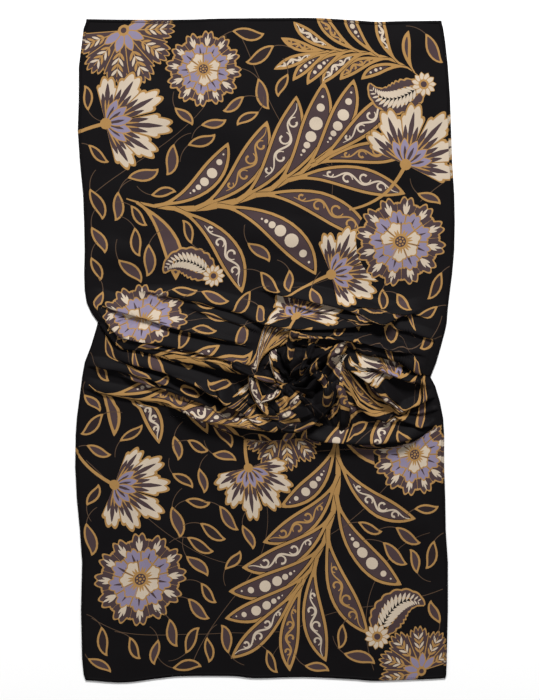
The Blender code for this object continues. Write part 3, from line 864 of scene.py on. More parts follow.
# %% Flowers
def lobed(root, angle, length, width, lobes, inset=0.0, steps=25, notch=0.09, droop=0.16):
    """A petal outline that widens to a scalloped end."""
    t = np.linspace(-1.0, 1.0, steps)
    dip = notch * length * (1.0 - np.abs(np.cos(0.5 * math.pi * lobes * (t + 1.0))))
    reach = length * (1.0 - droop * t ** 2) - dip - inset
    a = math.radians(angle) + t * math.atan2(0.5 * width - 0.6 * inset, length)
    rim = np.array(root, float) + reach[:, None] * np.column_stack([np.cos(a), np.sin(a)])
    return np.vstack([ahead(root, angle, 1.4 * inset), rim])


def edged_petal(ink, line, gap, root, angle, long, wide, lobes, **style):
    """A scalloped petal with a gold line round it, and a dark gap round that."""
    paint("ground", lobed(root, angle, long + gap[0], wide + gap[1], lobes, **style))
    paint("gold", lobed(root, angle, long, wide, lobes, **style))
    paint(ink, lobed(root, angle, long, wide, lobes, inset=line, **style))


def spikes(root, angle, spread, count, long, width, ink, belly=1.5):
    """Pointed strokes fanned about an angle, the middle ones longest."""
    for turn in np.linspace(-spread, spread, count):
        reach = long * (1.0 - 0.25 * abs(turn) / max(spread, 1.0))
        paint(ink, blade(root, angle + turn, reach, width, belly=belly, steps=7))


def heart(root, size, gold, plum, steps=12):
    """A plum spot on a gold one, where petals meet."""
    paint("gold", disc(root, gold * size))
    paint("plum", disc(root, plum * size, steps=steps))


print("a petal's outline has %d points" % len(lobed((0, 0), 0, 100, 50, 3)))

# %% Carnations
# A carnation's petals, painted one over the other: turn, reach and width in shares of its size.
CARNATION = (
    (-76, 0.76, 0.48), (74, 0.80, 0.50), (-46, 0.94, 0.54),
    (44, 0.92, 0.52), (-17, 1.0, 0.52), (14, 1.06, 0.54),
)
CUP_TURNS = (-54, 54, -28, 28, 0)


def fan_flower(root, heading, size, hand=1):
    """A carnation seen from the side: ragged petals with plum streaks, on a lilac cup and gold stem."""
    stem(root, heading + 180.0, 1.2 * size, (40.0 * hand, 10.0), (7.0, 4.0), "gold")
    for turn, reach, wide in CARNATION:
        angle = heading + turn
        edged_petal("cream", 5.2, (1.2, 2.0), root, angle, reach * size, wide * size, 3, droop=0.24)
        spikes(root, angle, 9.0, 3, 0.84 * reach * size, 0.08 * size, "plum", 1.7)
        spikes(root, angle, 4.5, 2, 0.66 * reach * size, 0.028 * size, "gold", 2.0)
    for turn in CUP_TURNS:
        edged_blade("lilac", 2.0, root, heading + turn, 0.42 * size, 0.17 * size, belly=1.1, steps=(9, 9))
        paint("plum", blade(root, heading + turn, 0.3 * size, 0.05 * size, belly=1.2, steps=6))
    paint("gold", disc(root, 0.09 * size))


print("a carnation has %d petals and %d cup leaves" % (len(CARNATION), len(CUP_TURNS)))

# %% Round flowers
RINGS = (12, 9, 7)


def ring_of_petals(centre, count, turn, shape, inks, steps=19):
    """Scalloped petals set round a centre: all the gold first, then the inner inks."""
    long, wide, lobes, line = shape
    angles = [turn + 360.0 * k / count for k in range(count)]
    for angle in angles:
        paint("gold", lobed(centre, angle, long, wide, lobes, steps=steps))
    for k, angle in enumerate(angles):
        ink = inks[k % len(inks)]
        paint(ink, lobed(centre, angle, long, wide, lobes, inset=line, steps=steps))
    return angles


def round_flower(centre, size, turn=0.0):
    """A layered flower seen from above: rings of petals round a gold heart."""
    outer = (size, 0.58 * size, 3, 3.6)
    middle = (0.7 * size, 0.5 * size, 3, 3.0)
    inner = (0.46 * size, 0.42 * size, 2, 2.6)
    paint("ground", disc(centre, 0.96 * size, steps=40))
    for angle in ring_of_petals(centre, RINGS[0], turn, outer, ("plum",), 22):
        spikes(ahead(centre, angle, 0.55 * size), angle, 14.0, 3, 0.36 * size, 0.055 * size, "cream", 1.3)
    for angle in ring_of_petals(centre, RINGS[1], turn + 12.0, middle, ("lilac",)):
        spikes(centre, angle, 9.0, 3, 0.58 * size, 0.05 * size, "plum", 1.8)
    for angle in ring_of_petals(centre, RINGS[2], turn + 30.0, inner, ("cream", "cream", "lilac")):
        spikes(centre, angle, 7.0, 2, 0.36 * size, 0.045 * size, "gold", 1.6)
    paint("gold", disc(centre, 0.17 * size, steps=18))
    paint("plum", disc(centre, 0.12 * size, steps=14))
    for k in range(7):
        paint("gold", disc(ahead(centre, 51.4 * k, 0.075 * size), 0.022 * size, steps=7))
    paint("gold", disc(centre, 0.03 * size, steps=8))


print("petals in the rings of a round flower:", *RINGS)

# %% Palmettes and curled drops
FAN_TURNS = (-96, 96, -64, 64, -32, 32, 0)
SPRIG = ((0.40, "gold"), (0.50, "cream"), (0.60, "gold"), (0.70, "cream"))


def palmette(root, heading, size):
    """A fan of broad scalloped petals, each with a small sprig inside."""
    for turn in FAN_TURNS:
        reach = size * (1.0 - 0.0016 * abs(turn))
        angle = heading + turn
        edged_petal("plum", 3.8, (1.4, 2.4), root, angle, reach, 0.6 * reach, 5, steps=31)
        stem(root, angle, 0.84 * reach, widths=(2.6, 1.2), ink="gold", steps=3)
        for share, ink in SPRIG:
            spot = ahead(root, angle, share * reach)
            for hand in (-1, 1):
                paint(ink, blade(spot, angle + hand * 36, 0.18 * reach, 0.05 * reach, steps=6))
    for turn in (-80, -40, 0, 40, 80):
        edged_blade("lilac", 2.4, root, heading + turn, 0.4 * size, 0.17 * size, belly=1.2, steps=(9, 9))
    heart(root, size, 0.1, 0.05)


def paisley(root, heading, size, hand=1):
    """A curled drop with a scalloped gold edge and a feathered cream inside, on a small rosette."""
    s = np.linspace(0.0, 1.0, 61)
    drop = (root, heading, 1.25 * size, (-30.0 * hand, 150.0 * hand))
    line, side = swept(*drop, s)
    half = 0.30 * size * np.clip(np.sin(math.pi * s ** 0.7), 0.0, None) ** 0.8
    frill = 1.0 + 0.12 * np.abs(np.sin(s * math.pi * 9.0))
    inner = 0.17 * size
    layers = (("gold", 0.0, 1), ("plum", 3.6, 1), ("gold", inner, 2), ("ground", inner + 2.4, 2))
    for ink, trim, skip in layers:
        edge = half * frill - trim
        fits = edge > 0.4
        left, right = line - edge[:, None] * side, line + edge[:, None] * side
        paint(ink, np.vstack([left[fits], right[fits][::-1]])[::skip])
    for place in np.linspace(0.16, 0.86, 13):
        spot, across = swept(*drop, [place])
        way = math.degrees(math.atan2(-across[0][0], across[0][1]))
        reach = 0.24 * size * math.sin(math.pi * place ** 0.7)
        for lean in (-1, 1):
            paint("cream", blade(spot[0], way + 48 * lean, reach, 0.3 * reach, steps=7))
    for k in range(11):
        edged_blade("cream", 1.5, root, 360.0 * k / 11, 0.24 * size, 0.12 * size, belly=1.3, steps=(8, 7))
    heart(root, size, 0.1, 0.06, steps=9)


print("petals in a palmette:", len(FAN_TURNS))

# %% [markdown]
# ## Setting out the print
# The large motifs are placed one by one. The ground between them is then filled the way a print maker
# does it: small leaves on thin stems, each put where it touches nothing else. A map of the ground,
# one cell for every few millimetres of cloth, remembers what is taken.

# %% The whole print
# Where each thin stem starts, its heading, length and turns.
WANDERING_STEMS = (
    ((20, 330), -40, 420, (60, -120)),
    ((690, 300), 150, 380, (-90, 120)),
    ((300, 20), 60, 400, (70, -150)),
    ((30, 560), 20, 420, (-70, 90)),
    ((690, 560), 100, 380, (80, -60)),
    ((460, 40), 100, 330, (-80, 90)),
    ((350, 1380), 0, 340, (-60, 110)),
    ((20, 1380), 40, 420, (60, -120)),
    ((690, 1340), 150, 380, (-90, 120)),
    ((20, 1680), 30, 380, (-90, 60)),
    ((690, 1630), 160, 360, (70, -110)),
    ((560, 1780), -110, 320, (60, 40)),
    ((210, 1780), -70, 360, (90, -120)),
    ((30, 1160), 20, 420, (-70, 90)),
    ((690, 1100), 150, 380, (-90, 120)),
)
for sweep in WANDERING_STEMS:
    stem(*sweep, widths=(1.3, 0.8), steps=26)
# Each motif: where it is rooted, its heading or turn, its size, and its hand.
MOTIFS = (
    # the upper panel
    (spray, (444, 272), -34, 1.16, 1),
    (spray, (470, 60), 170, 0.56, 1),
    (palmette, (78, 18), 62, 112),
    (round_flower, (236, 92), 74, 6),
    (paisley, (652, 118), 150, 100, 1),
    (fan_flower, (612, 270), -62, 122, 1),
    (fan_flower, (52, 196), -12, 122, -1),
    (fan_flower, (470, 484), -22, 108, -1),
    (round_flower, (598, 416), 88, 10),
    (paisley, (246, 486), 215, 92, -1),
    # the gathered middle and what lies hidden under it
    (spray, (352, 770), -8, 0.84, 1),
    (spray, (262, 1196), -30, 0.78, 1),
    (spray, (452, 1096), 212, 0.86, -1),
    (round_flower, (112, 588), 88, 0),
    (fan_flower, (420, 660), -70, 104, 1),
    (paisley, (590, 640), 200, 88, 1),
    (fan_flower, (330, 930), 60, 104, 1),
    (fan_flower, (640, 1010), -150, 92, 1),
    (palmette, (396, 1318), 84, 92),
    # the lower panel
    (spray, (420, 1622), 124, 1.04, -1),
    (fan_flower, (72, 1424), 24, 108, 1),
    (fan_flower, (330, 1400), 74, 98, 1),
    (round_flower, (112, 1608), 90, 0),
    (round_flower, (640, 1372), 80, 10),
    (paisley, (566, 1716), -64, 104, 1),
    (palmette, (652, 1784), 232, 92),
)
for motif, *sizes in MOTIFS:
    motif(*sizes)
large_motifs = len(print_shapes)
print("large motifs: %d, in %d outlines" % (len(MOTIFS), large_motifs))

# %% The map of the ground
CELL = 3.0
ground_taken = np.zeros((int(LENGTH / CELL) + 1, int(WIDTH / CELL) + 1), bool)


def inside(outline, x, y):
    """Which places lie inside an outline (even-odd rule)."""
    found = np.zeros(len(x), bool)
    before = np.roll(outline, 1, axis=0)
    for (x0, y0), (x1, y1) in zip(before, outline):
        if y0 == y1:
            continue
        crossing = (y0 > y) != (y1 > y)
        found ^= crossing & (x < (x1 - x0) * (y - y0) / (y1 - y0) + x0)
    return found


def on_map(across, down, margin):
    """Which cells lie on the map, a margin away from its far sides."""
    rows, columns = ground_taken.shape
    return (across >= 0) & (across < columns - margin) & (down >= 0) & (down < rows - margin)


def take_ground(outline):
    """Marks the cells of the ground map that an outline covers."""
    low = np.floor(outline.min(axis=0) / CELL).astype(int)
    high = np.ceil(outline.max(axis=0) / CELL).astype(int)
    across, down = np.meshgrid(np.arange(low[0], high[0] + 1), np.arange(low[1], high[1] + 1))
    across, down = across.ravel(), down.ravel()
    covered = inside(outline, (across + 0.5) * CELL, (down + 0.5) * CELL) & on_map(across, down, 0)
    ground_taken[down[covered], across[covered]] = True


def ground_free(places):
    """True where none of the places is taken or off the cloth."""
    across, down = np.floor(places / CELL).astype(int).T
    on_cloth = on_map(across, down, 2) & (across >= 1) & (down >= 1)
    return on_cloth.all() and not ground_taken[down, across].any()


for _, outline in print_shapes:
    take_ground(outline)
print("ground taken by the large motifs: %.0f %%" % (100 * ground_taken.mean()))

# %% Small leaves in the free ground
LEAF_GRID = 31.0
LEAF_TRIES = 10
LEAF_LENGTHS = (58.0, 64.0, 50.0)
LEAF_WIDE = 0.38
LEAF_TURNS = (105.0, -135.0)
LEAF_ROOM = 10.0
# Where the cloth lies gathered, one leaf place in three stays free.
GATHERED = (540.0, 1320.0)


def leaf_place(row, column, u, v):
    """Where a leaf starts near its grid place, and which way: sines that never fall in step."""
    lean = 180.0 * math.sin(1.7 * row + 0.9 * column) + 40.0 * math.sin(5.1 * column)
    swing = 0.2 * LEAF_GRID
    spot = (u + swing * math.sin(3.3 * row + column), v + swing * math.cos(2.1 * column + row))
    return lean, spot


def try_leaf(spot, angle, length, hand, ink):
    """Prints one small leaf on its bent stem if nothing is in its way."""
    turns = (hand * LEAF_TURNS[0], hand * LEAF_TURNS[1])
    room = blade(ahead(spot, angle, -5.0), angle, length + 8.0, LEAF_WIDE * length + LEAF_ROOM, turns)
    core = blade(spot, angle, length, 5.0, turns)
    if not ground_free(np.vstack([room, core])):
        return False
    stem(spot, angle + 180.0 - 10.0 * hand, 0.62 * length, (-hand * 46.0, 0.0), (1.5, 1.0))
    edged_blade(ink, LEAF_LINE, spot, angle, length, LEAF_WIDE * length, turns)
    take_ground(room)
    return True


def fill_with_leaves():
    """Sets small leaves wherever the ground is free, turning each until it fits."""
    count = 0
    for row, v in enumerate(np.arange(0.5 * LEAF_GRID, LENGTH, LEAF_GRID)):
        for column, u in enumerate(np.arange((0.25 + 0.5 * (row % 2)) * LEAF_GRID, WIDTH, LEAF_GRID)):
            if GATHERED[0] < v < GATHERED[1] and (row + 2 * column) % 3 == 0:
                continue
            lean, spot = leaf_place(row, column, u, v)
            hand = 1.0 if (row + column) % 2 else -1.0
            for k in range(LEAF_TRIES):
                angle = lean + hand * 360.0 * k / LEAF_TRIES
                length = LEAF_LENGTHS[(row + column + k) % len(LEAF_LENGTHS)]
                if try_leaf(spot, angle, length, hand, ("umber", "plum")[count % 2]):
                    count += 1
                    break
    return count


leaf_count = fill_with_leaves()
print("print: %d outlines, %d small leaves" % (len(print_shapes), leaf_count))

# %% [markdown]
# ## Printing the cloth
# One way to colour cloth is an image; here the print is cut into the mesh instead. The flat cloth
# is triangulated so that every outline of the print is an edge, each triangle takes the ink that
# was painted last, and only then is the sheet carried onto its threads. Edges stay crisp from any
# distance, and the print bends, squeezes and hides with the cloth.

# %% From flat cloth to laid cloth
# Far more than any thread is long: it keeps the threads apart in one sorted list.
FAR = 1.0e5
# How far apart two places are read for the cloth's facing, also where it is squeezed.
NORMAL_STEP = 2.4
WIDER_STEP = 5.0
SQUEEZED = 0.5
INK_COLOURS = np.array([INKS[name] for name in INK_NAMES])


def on_threads(sheet, u, v):
    """Where flat places (u across, v down the cloth) lie once the cloth is laid."""
    points, used, low_u, high_u = sheet
    count, rows = used.shape
    step = np.clip((u - low_u) / (high_u - low_u), 0.0, 1.0) * (count - 1)
    first = np.minimum(step.astype(int), count - 2)
    share = (step - first)[:, None]
    keys = (np.arange(count)[:, None] * FAR + used - used.min()).ravel()
    flat = points.reshape(-1, 3)
    found = np.zeros((len(u), 3))
    for side in (0, 1):
        thread = first + side
        wanted = thread * FAR + v - used.min()
        spot = np.searchsorted(keys, wanted)
        spot = np.clip(spot, thread * rows + 1, thread * rows + rows - 1)
        gap = np.maximum(keys[spot] - keys[spot - 1], 1e-6)
        part = np.clip((wanted - keys[spot - 1]) / gap, 0.0, 1.0)[:, None]
        here = flat[spot - 1] * (1 - part) + flat[spot] * part
        found += here * (share if side else 1.0 - share)
    return found


def facing(sheet, u, v):
    """Smooth facing directions of the laid cloth."""
    across = on_threads(sheet, u + NORMAL_STEP, v) - on_threads(sheet, u - NORMAL_STEP, v)
    down = on_threads(sheet, u, v + NORMAL_STEP) - on_threads(sheet, u, v - NORMAL_STEP)
    wide = on_threads(sheet, u, v + WIDER_STEP) - on_threads(sheet, u, v - WIDER_STEP)
    weak = np.linalg.norm(down, axis=1) < SQUEEZED
    down[weak] = wide[weak]
    normal = np.cross(down, across)
    normal[np.linalg.norm(normal, axis=1) < 1e-6] = (0.0, 0.0, 1.0)
    return normal / np.linalg.norm(normal, axis=1)[:, None]


print("ink colours:", len(INK_COLOURS))

# %% Cutting the print into a sheet
def add_object(name, data):
    made = bpy.data.objects.new(name, data)
    bpy.context.scene.collection.objects.link(made)
    return made


def mesh_object(name, points, faces, inks, uv, normals=None, shade=1.0):
    """A printed mesh in metres, with an ink for each triangle and a map of the flat cloth."""
    mesh = bpy.data.meshes.new(name)
    mesh.from_pydata((points * MM).tolist(), [], faces.tolist())
    mesh.polygons.foreach_set("use_smooth", np.ones(len(faces), bool))
    layer = mesh.color_attributes.new("print", "FLOAT_COLOR", "CORNER")
    rgba = np.ones((faces.size, 4), np.float32)
    # shade darkens the inks: painted shade, used on the hems
    rgba[:, :3] = np.repeat(shade * INK_COLOURS[inks], faces.shape[1], axis=0)
    layer.data.foreach_set("color", rgba.ravel())
    uv_map = mesh.uv_layers.new(name="flat_cloth")
    uv_map.data.foreach_set("uv", (uv[faces.ravel()] / LENGTH).astype(np.float32).ravel())
    if normals is not None:
        mesh.normals_split_custom_set_from_vertices(normals.tolist())
    mesh.materials.append(printed_cloth)
    return add_object(name, mesh)


def flat_outlines(sheet, chosen):
    """A stretch of flat cloth and the outlines on it: places, faces in painting order, inks."""
    _, used, low_u, high_u = sheet
    count, rows = used.shape
    u = np.repeat(np.linspace(low_u, high_u, count)[:, None], rows, axis=1)
    number = -np.ones((count, rows), int)
    number[chosen] = np.arange(chosen.sum())
    ring = np.concatenate([number[:, 0], number[-1, 1:], number[-2::-1, -1], number[0, -2:0:-1]])
    places = [np.column_stack([u[chosen], used[chosen]])]
    faces = [ring[ring >= 0].tolist()]
    inks = [0]
    total = len(places[0])
    for ink, outline in print_shapes:
        if outline[:, 1].max() > used.min() and outline[:, 1].min() < used.max():
            places.append(outline)
            faces.append(list(range(total, total + len(outline))))
            inks.append(ink)
            total += len(outline)
    return np.vstack(places), faces, inks


def printed_sheet(name, sheet, chosen):
    """Cuts the print into a stretch of flat cloth and carries it onto its threads."""
    places, faces, inks = flat_outlines(sheet, chosen)
    cut = delaunay_2d_cdt([Vector(p) for p in places], [], faces, 0, 1e-5, True)
    triangles, owners = cut[2], cut[5]
    on_cloth = [k for k, owner in enumerate(owners) if 0 in owner]
    ink = np.array([inks[max(owners[k])] for k in on_cloth])
    triangles = np.array([triangles[k] for k in on_cloth])[:, ::-1]
    seen, triangles = np.unique(triangles, return_inverse=True)
    triangles = triangles.reshape(-1, 3)
    where = np.array([tuple(p) for p in cut[0]])[seen]
    laid = on_threads(sheet, where[:, 0], where[:, 1])
    corners = laid[triangles]
    area = np.linalg.norm(np.cross(corners[:, 1] - corners[:, 0], corners[:, 2] - corners[:, 0]), axis=1)
    real = area > 1e-6
    print("%s: %d triangles" % (name, real.sum()))
    normals = facing(sheet, where[:, 0], where[:, 1])
    return mesh_object(name, laid, triangles[real], ink[real], where, normals)


def grid_choice(count, blocks):
    """Which thread points to keep: for each block of rows, every so many columns and rows."""
    keep = np.zeros((count, sum(block[0] for block in blocks)), bool)
    row = 0
    for rows, column_step, row_step in blocks:
        keep[::column_step, row:row + rows:row_step] = True
        row += rows
    keep[[0, -1]] |= keep.any(axis=0)
    keep[::4, 0] = True
    keep[::2, -1] = True
    keep[-1, [0, -1]] = True
    return keep


print("of 9 by 9 places, every second each way and the rim:", grid_choice(9, ((9, 2, 2),)).sum())

# %% [markdown]
# ## The cloth's finish
# Fine cashmere and silk cloth is matt black, with only a weak, wide sheen where it turns to the
# light. One shader group gives the weave and the slight unevenness of the dye, read from the
# flat cloth's own map so that it follows every fold; the shader itself stays in the material.

# %% The weave
THREAD = 0.0006
# One wave texture has about three bands for each unit of its scale.
BANDS = 3.0
ROUGH_RANGE = (0.5, 0.62)
DYE_BASE = 0.88


def add_sockets(tree, way, kinds):
    """Named inputs or outputs of a node group."""
    for name, kind in kinds.items():
        tree.interface.new_socket(name=name, in_out=way, socket_type="NodeSocket" + kind)


def weave_group():
    """Weave height, dyed colour and roughness, from the flat cloth's map."""
    group = bpy.data.node_groups.new("fine_weave", "ShaderNodeTree")
    add_sockets(group, "INPUT", {"Threads": "Float", "Unevenness": "Float", "Ink": "Color"})
    add_sockets(group, "OUTPUT", {"Color": "Color", "Height": "Float", "Rough": "Float"})
    nodes, link = group.nodes, group.links.new
    inputs = nodes.new("NodeGroupInput")
    outputs = nodes.new("NodeGroupOutput")
    place = nodes.new("ShaderNodeUVMap")
    place.uv_map = "flat_cloth"
    warp = nodes.new("ShaderNodeTexWave")
    warp.bands_direction = "X"
    weft = nodes.new("ShaderNodeTexWave")
    weft.bands_direction = "Y"
    for wave in (warp, weft):
        wave.inputs["Distortion"].default_value = 1.2
        wave.inputs["Detail Scale"].default_value = 3.0
        link(place.outputs["UV"], wave.inputs["Vector"])
        link(inputs.outputs["Threads"], wave.inputs["Scale"])
    cross = nodes.new("ShaderNodeMath")
    cross.operation = "ADD"
    link(warp.outputs["Fac"], cross.inputs[0])
    link(weft.outputs["Fac"], cross.inputs[1])
    cloud = nodes.new("ShaderNodeTexNoise")
    cloud.inputs["Scale"].default_value = 26.0
    cloud.inputs["Detail"].default_value = 5.0
    link(place.outputs["UV"], cloud.inputs["Vector"])
    spread = nodes.new("ShaderNodeMath")
    spread.operation = "MULTIPLY_ADD"
    link(cloud.outputs["Fac"], spread.inputs[0])
    link(inputs.outputs["Unevenness"], spread.inputs[1])
    spread.inputs[2].default_value = DYE_BASE
    shade = nodes.new("ShaderNodeVectorMath")
    shade.operation = "SCALE"
    link(inputs.outputs["Ink"], shade.inputs[0])
    link(spread.outputs["Value"], shade.inputs["Scale"])
    rough = nodes.new("ShaderNodeMapRange")
    rough.inputs["To Min"].default_value, rough.inputs["To Max"].default_value = ROUGH_RANGE
    link(cloud.outputs["Fac"], rough.inputs["Value"])
    link(shade.outputs["Vector"], outputs.inputs["Color"])
    link(cross.outputs["Value"], outputs.inputs["Height"])
    link(rough.outputs["Result"], outputs.inputs["Rough"])
    return group


weave = weave_group()
print("weave: threads %.1f mm apart" % (THREAD / MM))

# %% The two finishes
BUMP_STRENGTH = 0.12
BUMP_DEEP = 0.0002
SPECULAR = 0.03
SHEEN_ROUGH = 0.45
SHEEN_TINT = (1.0, 0.96, 0.92, 1.0)


def cloth_material(name, ink_from_print, unevenness, sheen):
    made = bpy.data.materials.new(name)
    made.use_nodes = True
    nodes, link = made.node_tree.nodes, made.node_tree.links.new
    shader = nodes["Principled BSDF"]
    finish = nodes.new("ShaderNodeGroup")
    finish.node_tree = weave
    finish.inputs["Threads"].default_value = LENGTH * MM / THREAD / BANDS
    finish.inputs["Unevenness"].default_value = unevenness
    if ink_from_print:
        ink = nodes.new("ShaderNodeAttribute")
        ink.attribute_name = "print"
        link(ink.outputs["Color"], finish.inputs["Ink"])
    else:
        finish.inputs["Ink"].default_value = (*INKS["ground"], 1.0)
    bump = nodes.new("ShaderNodeBump")
    bump.inputs["Strength"].default_value = BUMP_STRENGTH
    bump.inputs["Distance"].default_value = BUMP_DEEP
    link(finish.outputs["Height"], bump.inputs["Height"])
    link(finish.outputs["Color"], shader.inputs["Base Color"])
    link(finish.outputs["Rough"], shader.inputs["Roughness"])
    link(bump.outputs["Normal"], shader.inputs["Normal"])
    shader.inputs["Specular IOR Level"].default_value = SPECULAR
    shader.inputs["Sheen Weight"].default_value = sheen
    shader.inputs["Sheen Roughness"].default_value = SHEEN_ROUGH
    shader.inputs["Sheen Tint"].default_value = SHEEN_TINT
    return made


printed_cloth = cloth_material("printed_cloth", True, unevenness=0.24, sheen=0.005)
thread_finish = cloth_material("hem_thread", False, unevenness=0.1, sheen=0.008)
print("finishes:", printed_cloth.name, "and", thread_finish.name)

# %% [markdown]
# ## The long stretches
# The upper cloth and the under cloth are laid and printed. The under cloth's threads also make the
# lower panel, which is a piece of its own, because it stands for a solid of its own. Where the
# cloth is flat, few thread points are kept; where it folds, nearly all of them.

# %% Upper, under and lower cloth
UNDER_ROLL = 20
ROLL_FOOT = 14


def stretch(points, used, first, last):
    """Some rows of the threads, with the places of the outermost threads across the cloth."""
    return points[:, first:last], used[:, first:last], EDGE_INSET, WIDTH - EDGE_INSET


upper_sheet = stretch(upper_points, upper_used, 0, None)
rest = upper_points.shape[1] - PANEL_ROWS - GATHER_ROWS
upper_rows = ((PANEL_ROWS - 6, 4, 2), (GATHER_ROWS + 5, 2, 1), (rest + 1, 2, 1))
upper_cloth = printed_sheet("upper_cloth", upper_sheet, grid_choice(COLUMNS, upper_rows))
under_end = roll_row + UNDER_ROLL
under_sheet = stretch(under_points, under_used, 0, under_end)
under_cloth = printed_sheet("under_cloth", under_sheet, grid_choice(COLUMNS, ((under_end, 1, 1),)))
lower_sheet = stretch(under_points, under_used, under_end - 1, None)
lower_rows = ((ROLL_FOOT, 2, 1), (lower_sheet[0].shape[1] - ROLL_FOOT, 3, 1))
lower_cloth = printed_sheet("lower_cloth", lower_sheet, grid_choice(COLUMNS, lower_rows))

# %% [markdown]
# ## The swirl
# Where the cloth was pinched and turned, its pleats run round an eye. A polar form fits this
# best: rings from the eye out to the rim, with a height that turns with them so that each pleat
# rises gently and drops onto the next one. The pleats show chopped pieces of the print, so each
# one reads the large motifs of the flat print a step further along.

# %% The height of the pleats
CORE_RIM = 23.0
CORE_HIGH = 26.0
CORE_EYE = 4.0
# The body's height, at shares of the way from the eye to the rim.
BODY_PLACES = (0.0, 0.1, 0.28, 0.6, 0.85, 1.0)
BODY_HEIGHTS = (CORE_EYE, CORE_EYE + 6.0, CORE_HIGH - 8.0, CORE_HIGH, CORE_RIM + 8.0, CORE_RIM)
# The large pleats and the fine ones on them: how many, how far they turn, how high they stand.
PLEATS = 6
PLEAT_TURN = 1.2
PLEAT_HIGH = 19.0
FINE_PLEATS = 9
FINE_TURN = 1.6
FINE_HIGH = 4.4


def pleat_phase(angle, share):
    """How many pleats lie between a place and the swirl's start, its unevenness added."""
    phase = PLEATS * angle / (2 * math.pi) - PLEAT_TURN * np.log(share + 0.2)
    uneven = 0.32 * np.sin(2 * angle + 0.7 + 3.0 * share) + 0.2 * np.sin(3 * angle + 2.0 - 4.0 * share)
    return phase + uneven + 0.1 * np.sin(7 * angle + 9.0 * share)


def crest_of(phase, power):
    """A row of crests, one for each whole phase: 1 on top and 0 in the crease."""
    return 1.0 - np.abs(2.0 * (phase - np.floor(phase)) - 1.0) ** power


def core_height(angle, share):
    body = np.interp(share, BODY_PLACES, BODY_HEIGHTS)
    crest = crest_of(pleat_phase(angle, share), 1.4)
    uneven = 0.75 + 0.35 * np.sin(angle + 1.1)
    fine = FINE_PLEATS * angle / (2 * math.pi) - FINE_TURN * np.log(share + 0.12)
    small = crest_of(fine + 0.3 * np.sin(3 * angle), 2)
    grow = smooth_step(share / 0.4) * (1.0 - 0.6 * smooth_step((share - 0.7) / 0.3))
    large = PLEAT_HIGH * uneven * (crest - 0.6) * grow
    return body + large + FINE_HIGH * (small - 0.6) * smooth_step(share / 0.3)


print("swirl: %d large pleats, %d fine ones" % (PLEATS, FINE_PLEATS))

# %% The form of the swirl
CORE_ANGLES = 540
CORE_RINGS = 112
CORE_TOPPLE = 0.45
# At its upper rim the swirl passes under the lip: from this height of the picture, over this length.
OVER_FROM = -62.0
OVER_EASE = 30.0
RIM_EASE = 0.6
UNDER_LIP = 1.5
TUCKED_RIM = 8.0


def triangles_of(quads):
    return np.concatenate([quads[:, [0, 1, 2]], quads[:, [0, 2, 3]]])


def closed_grid(rows, columns):
    """Quads of a grid that is closed round, row by row."""
    across = np.arange(columns)
    after = (across + 1) % columns
    down = np.arange(rows - 1)[:, None] * columns
    quads = np.stack([down + across, down + after, down + columns + after, down + columns + across], axis=-1)
    return quads.reshape(-1, 4)


def polar(angle):
    return np.column_stack([np.cos(angle), np.sin(angle)])


def rim_radius(angle):
    """How far the rim lies from the eye, in each direction."""
    arms = np.vstack([rim_over[:-1], rim_under[:0:-1]]) - EYE
    known = np.unwrap(np.arctan2(arms[:, 1], arms[:, 0]))
    order = np.argsort(known)
    return np.interp(angle, known[order], np.linalg.norm(arms, axis=1)[order], period=2 * math.pi)


def swirl_rings():
    """The rings of the swirl from its eye out to the rim, round it and back underneath."""
    angle = np.linspace(-math.pi, math.pi, CORE_ANGLES, endpoint=False)
    radius = rim_radius(angle)
    way = polar(angle)
    rim = EYE + radius[:, None] * way
    over = smooth_step((rim[:, 1] - OVER_FROM) / OVER_EASE)
    share = np.linspace(0.0, 1.0, CORE_RINGS)[1:][:, None]
    high = core_height(angle[None, :], share)
    lift = upper_height(rim[:, 0], rim[:, 1]) - SWIRL_LIP - UNDER_LIP - core_height(angle, 1.0)
    high = high + smooth_step((share - RIM_EASE) / (1.0 - RIM_EASE)) * (over * lift)[None, :]
    calm = 1.0 - smooth_step((share - 0.7) / 0.3)
    topple = CORE_TOPPLE * (high - high.mean(axis=1, keepdims=True)) * calm
    x = EYE[0] + share * radius * way[:, 0] - topple * way[:, 1]
    y = EYE[1] + share * radius * way[:, 1] + topple * way[:, 0]
    rings = [np.stack([x, y, high], axis=-1)]
    edge = high[-1]
    foot = np.maximum(under_height(rim[:, 0], rim[:, 1]) + CLEAR, FOOT_SHARE * edge)
    foot = np.minimum(edge - 3.0, foot)
    for turn in NOSE_TURNS:
        nose = (1.0 - over) * NOSE * 1.1 * math.sin(turn) + over * 6.0 * turn / math.pi
        level = foot + (edge - foot) * (0.5 + 0.5 * math.cos(turn))
        rings.append(np.column_stack([rim + nose[:, None] * way, level])[None])
    for step in (0.4, 1.0):
        rings.append(np.column_stack([rim - TUCKED_RIM * step * way, foot - 2.0 * step])[None])
    return np.concatenate(rings, axis=0)


core_rings = swirl_rings()
print("swirl: %d rings, %.0f mm high" % (len(core_rings), core_rings[..., 2].max()))

# %% Printing the swirl
CORE_STEP = np.array([47.0, 38.0])
CORE_PLACE = (520.0, 740.0)
CORE_REACH = 78.0


def ink_at(u, v):
    """The ink of the print's large motifs at places on the cloth."""
    ink = np.zeros(len(u), int)
    for number, outline in print_shapes[:large_motifs]:
        low, high = outline.min(axis=0), outline.max(axis=0)
        near = np.flatnonzero((u > low[0]) & (u < high[0]) & (v > low[1]) & (v < high[1]))
        if len(near):
            ink[near[inside(outline, u[near], v[near])]] = number
    return ink


def round_eye(points):
    """The angle and the distance of places from the eye."""
    arm = points[:, :2] - EYE
    return np.arctan2(arm[:, 1], arm[:, 0]), np.linalg.norm(arm, axis=1)


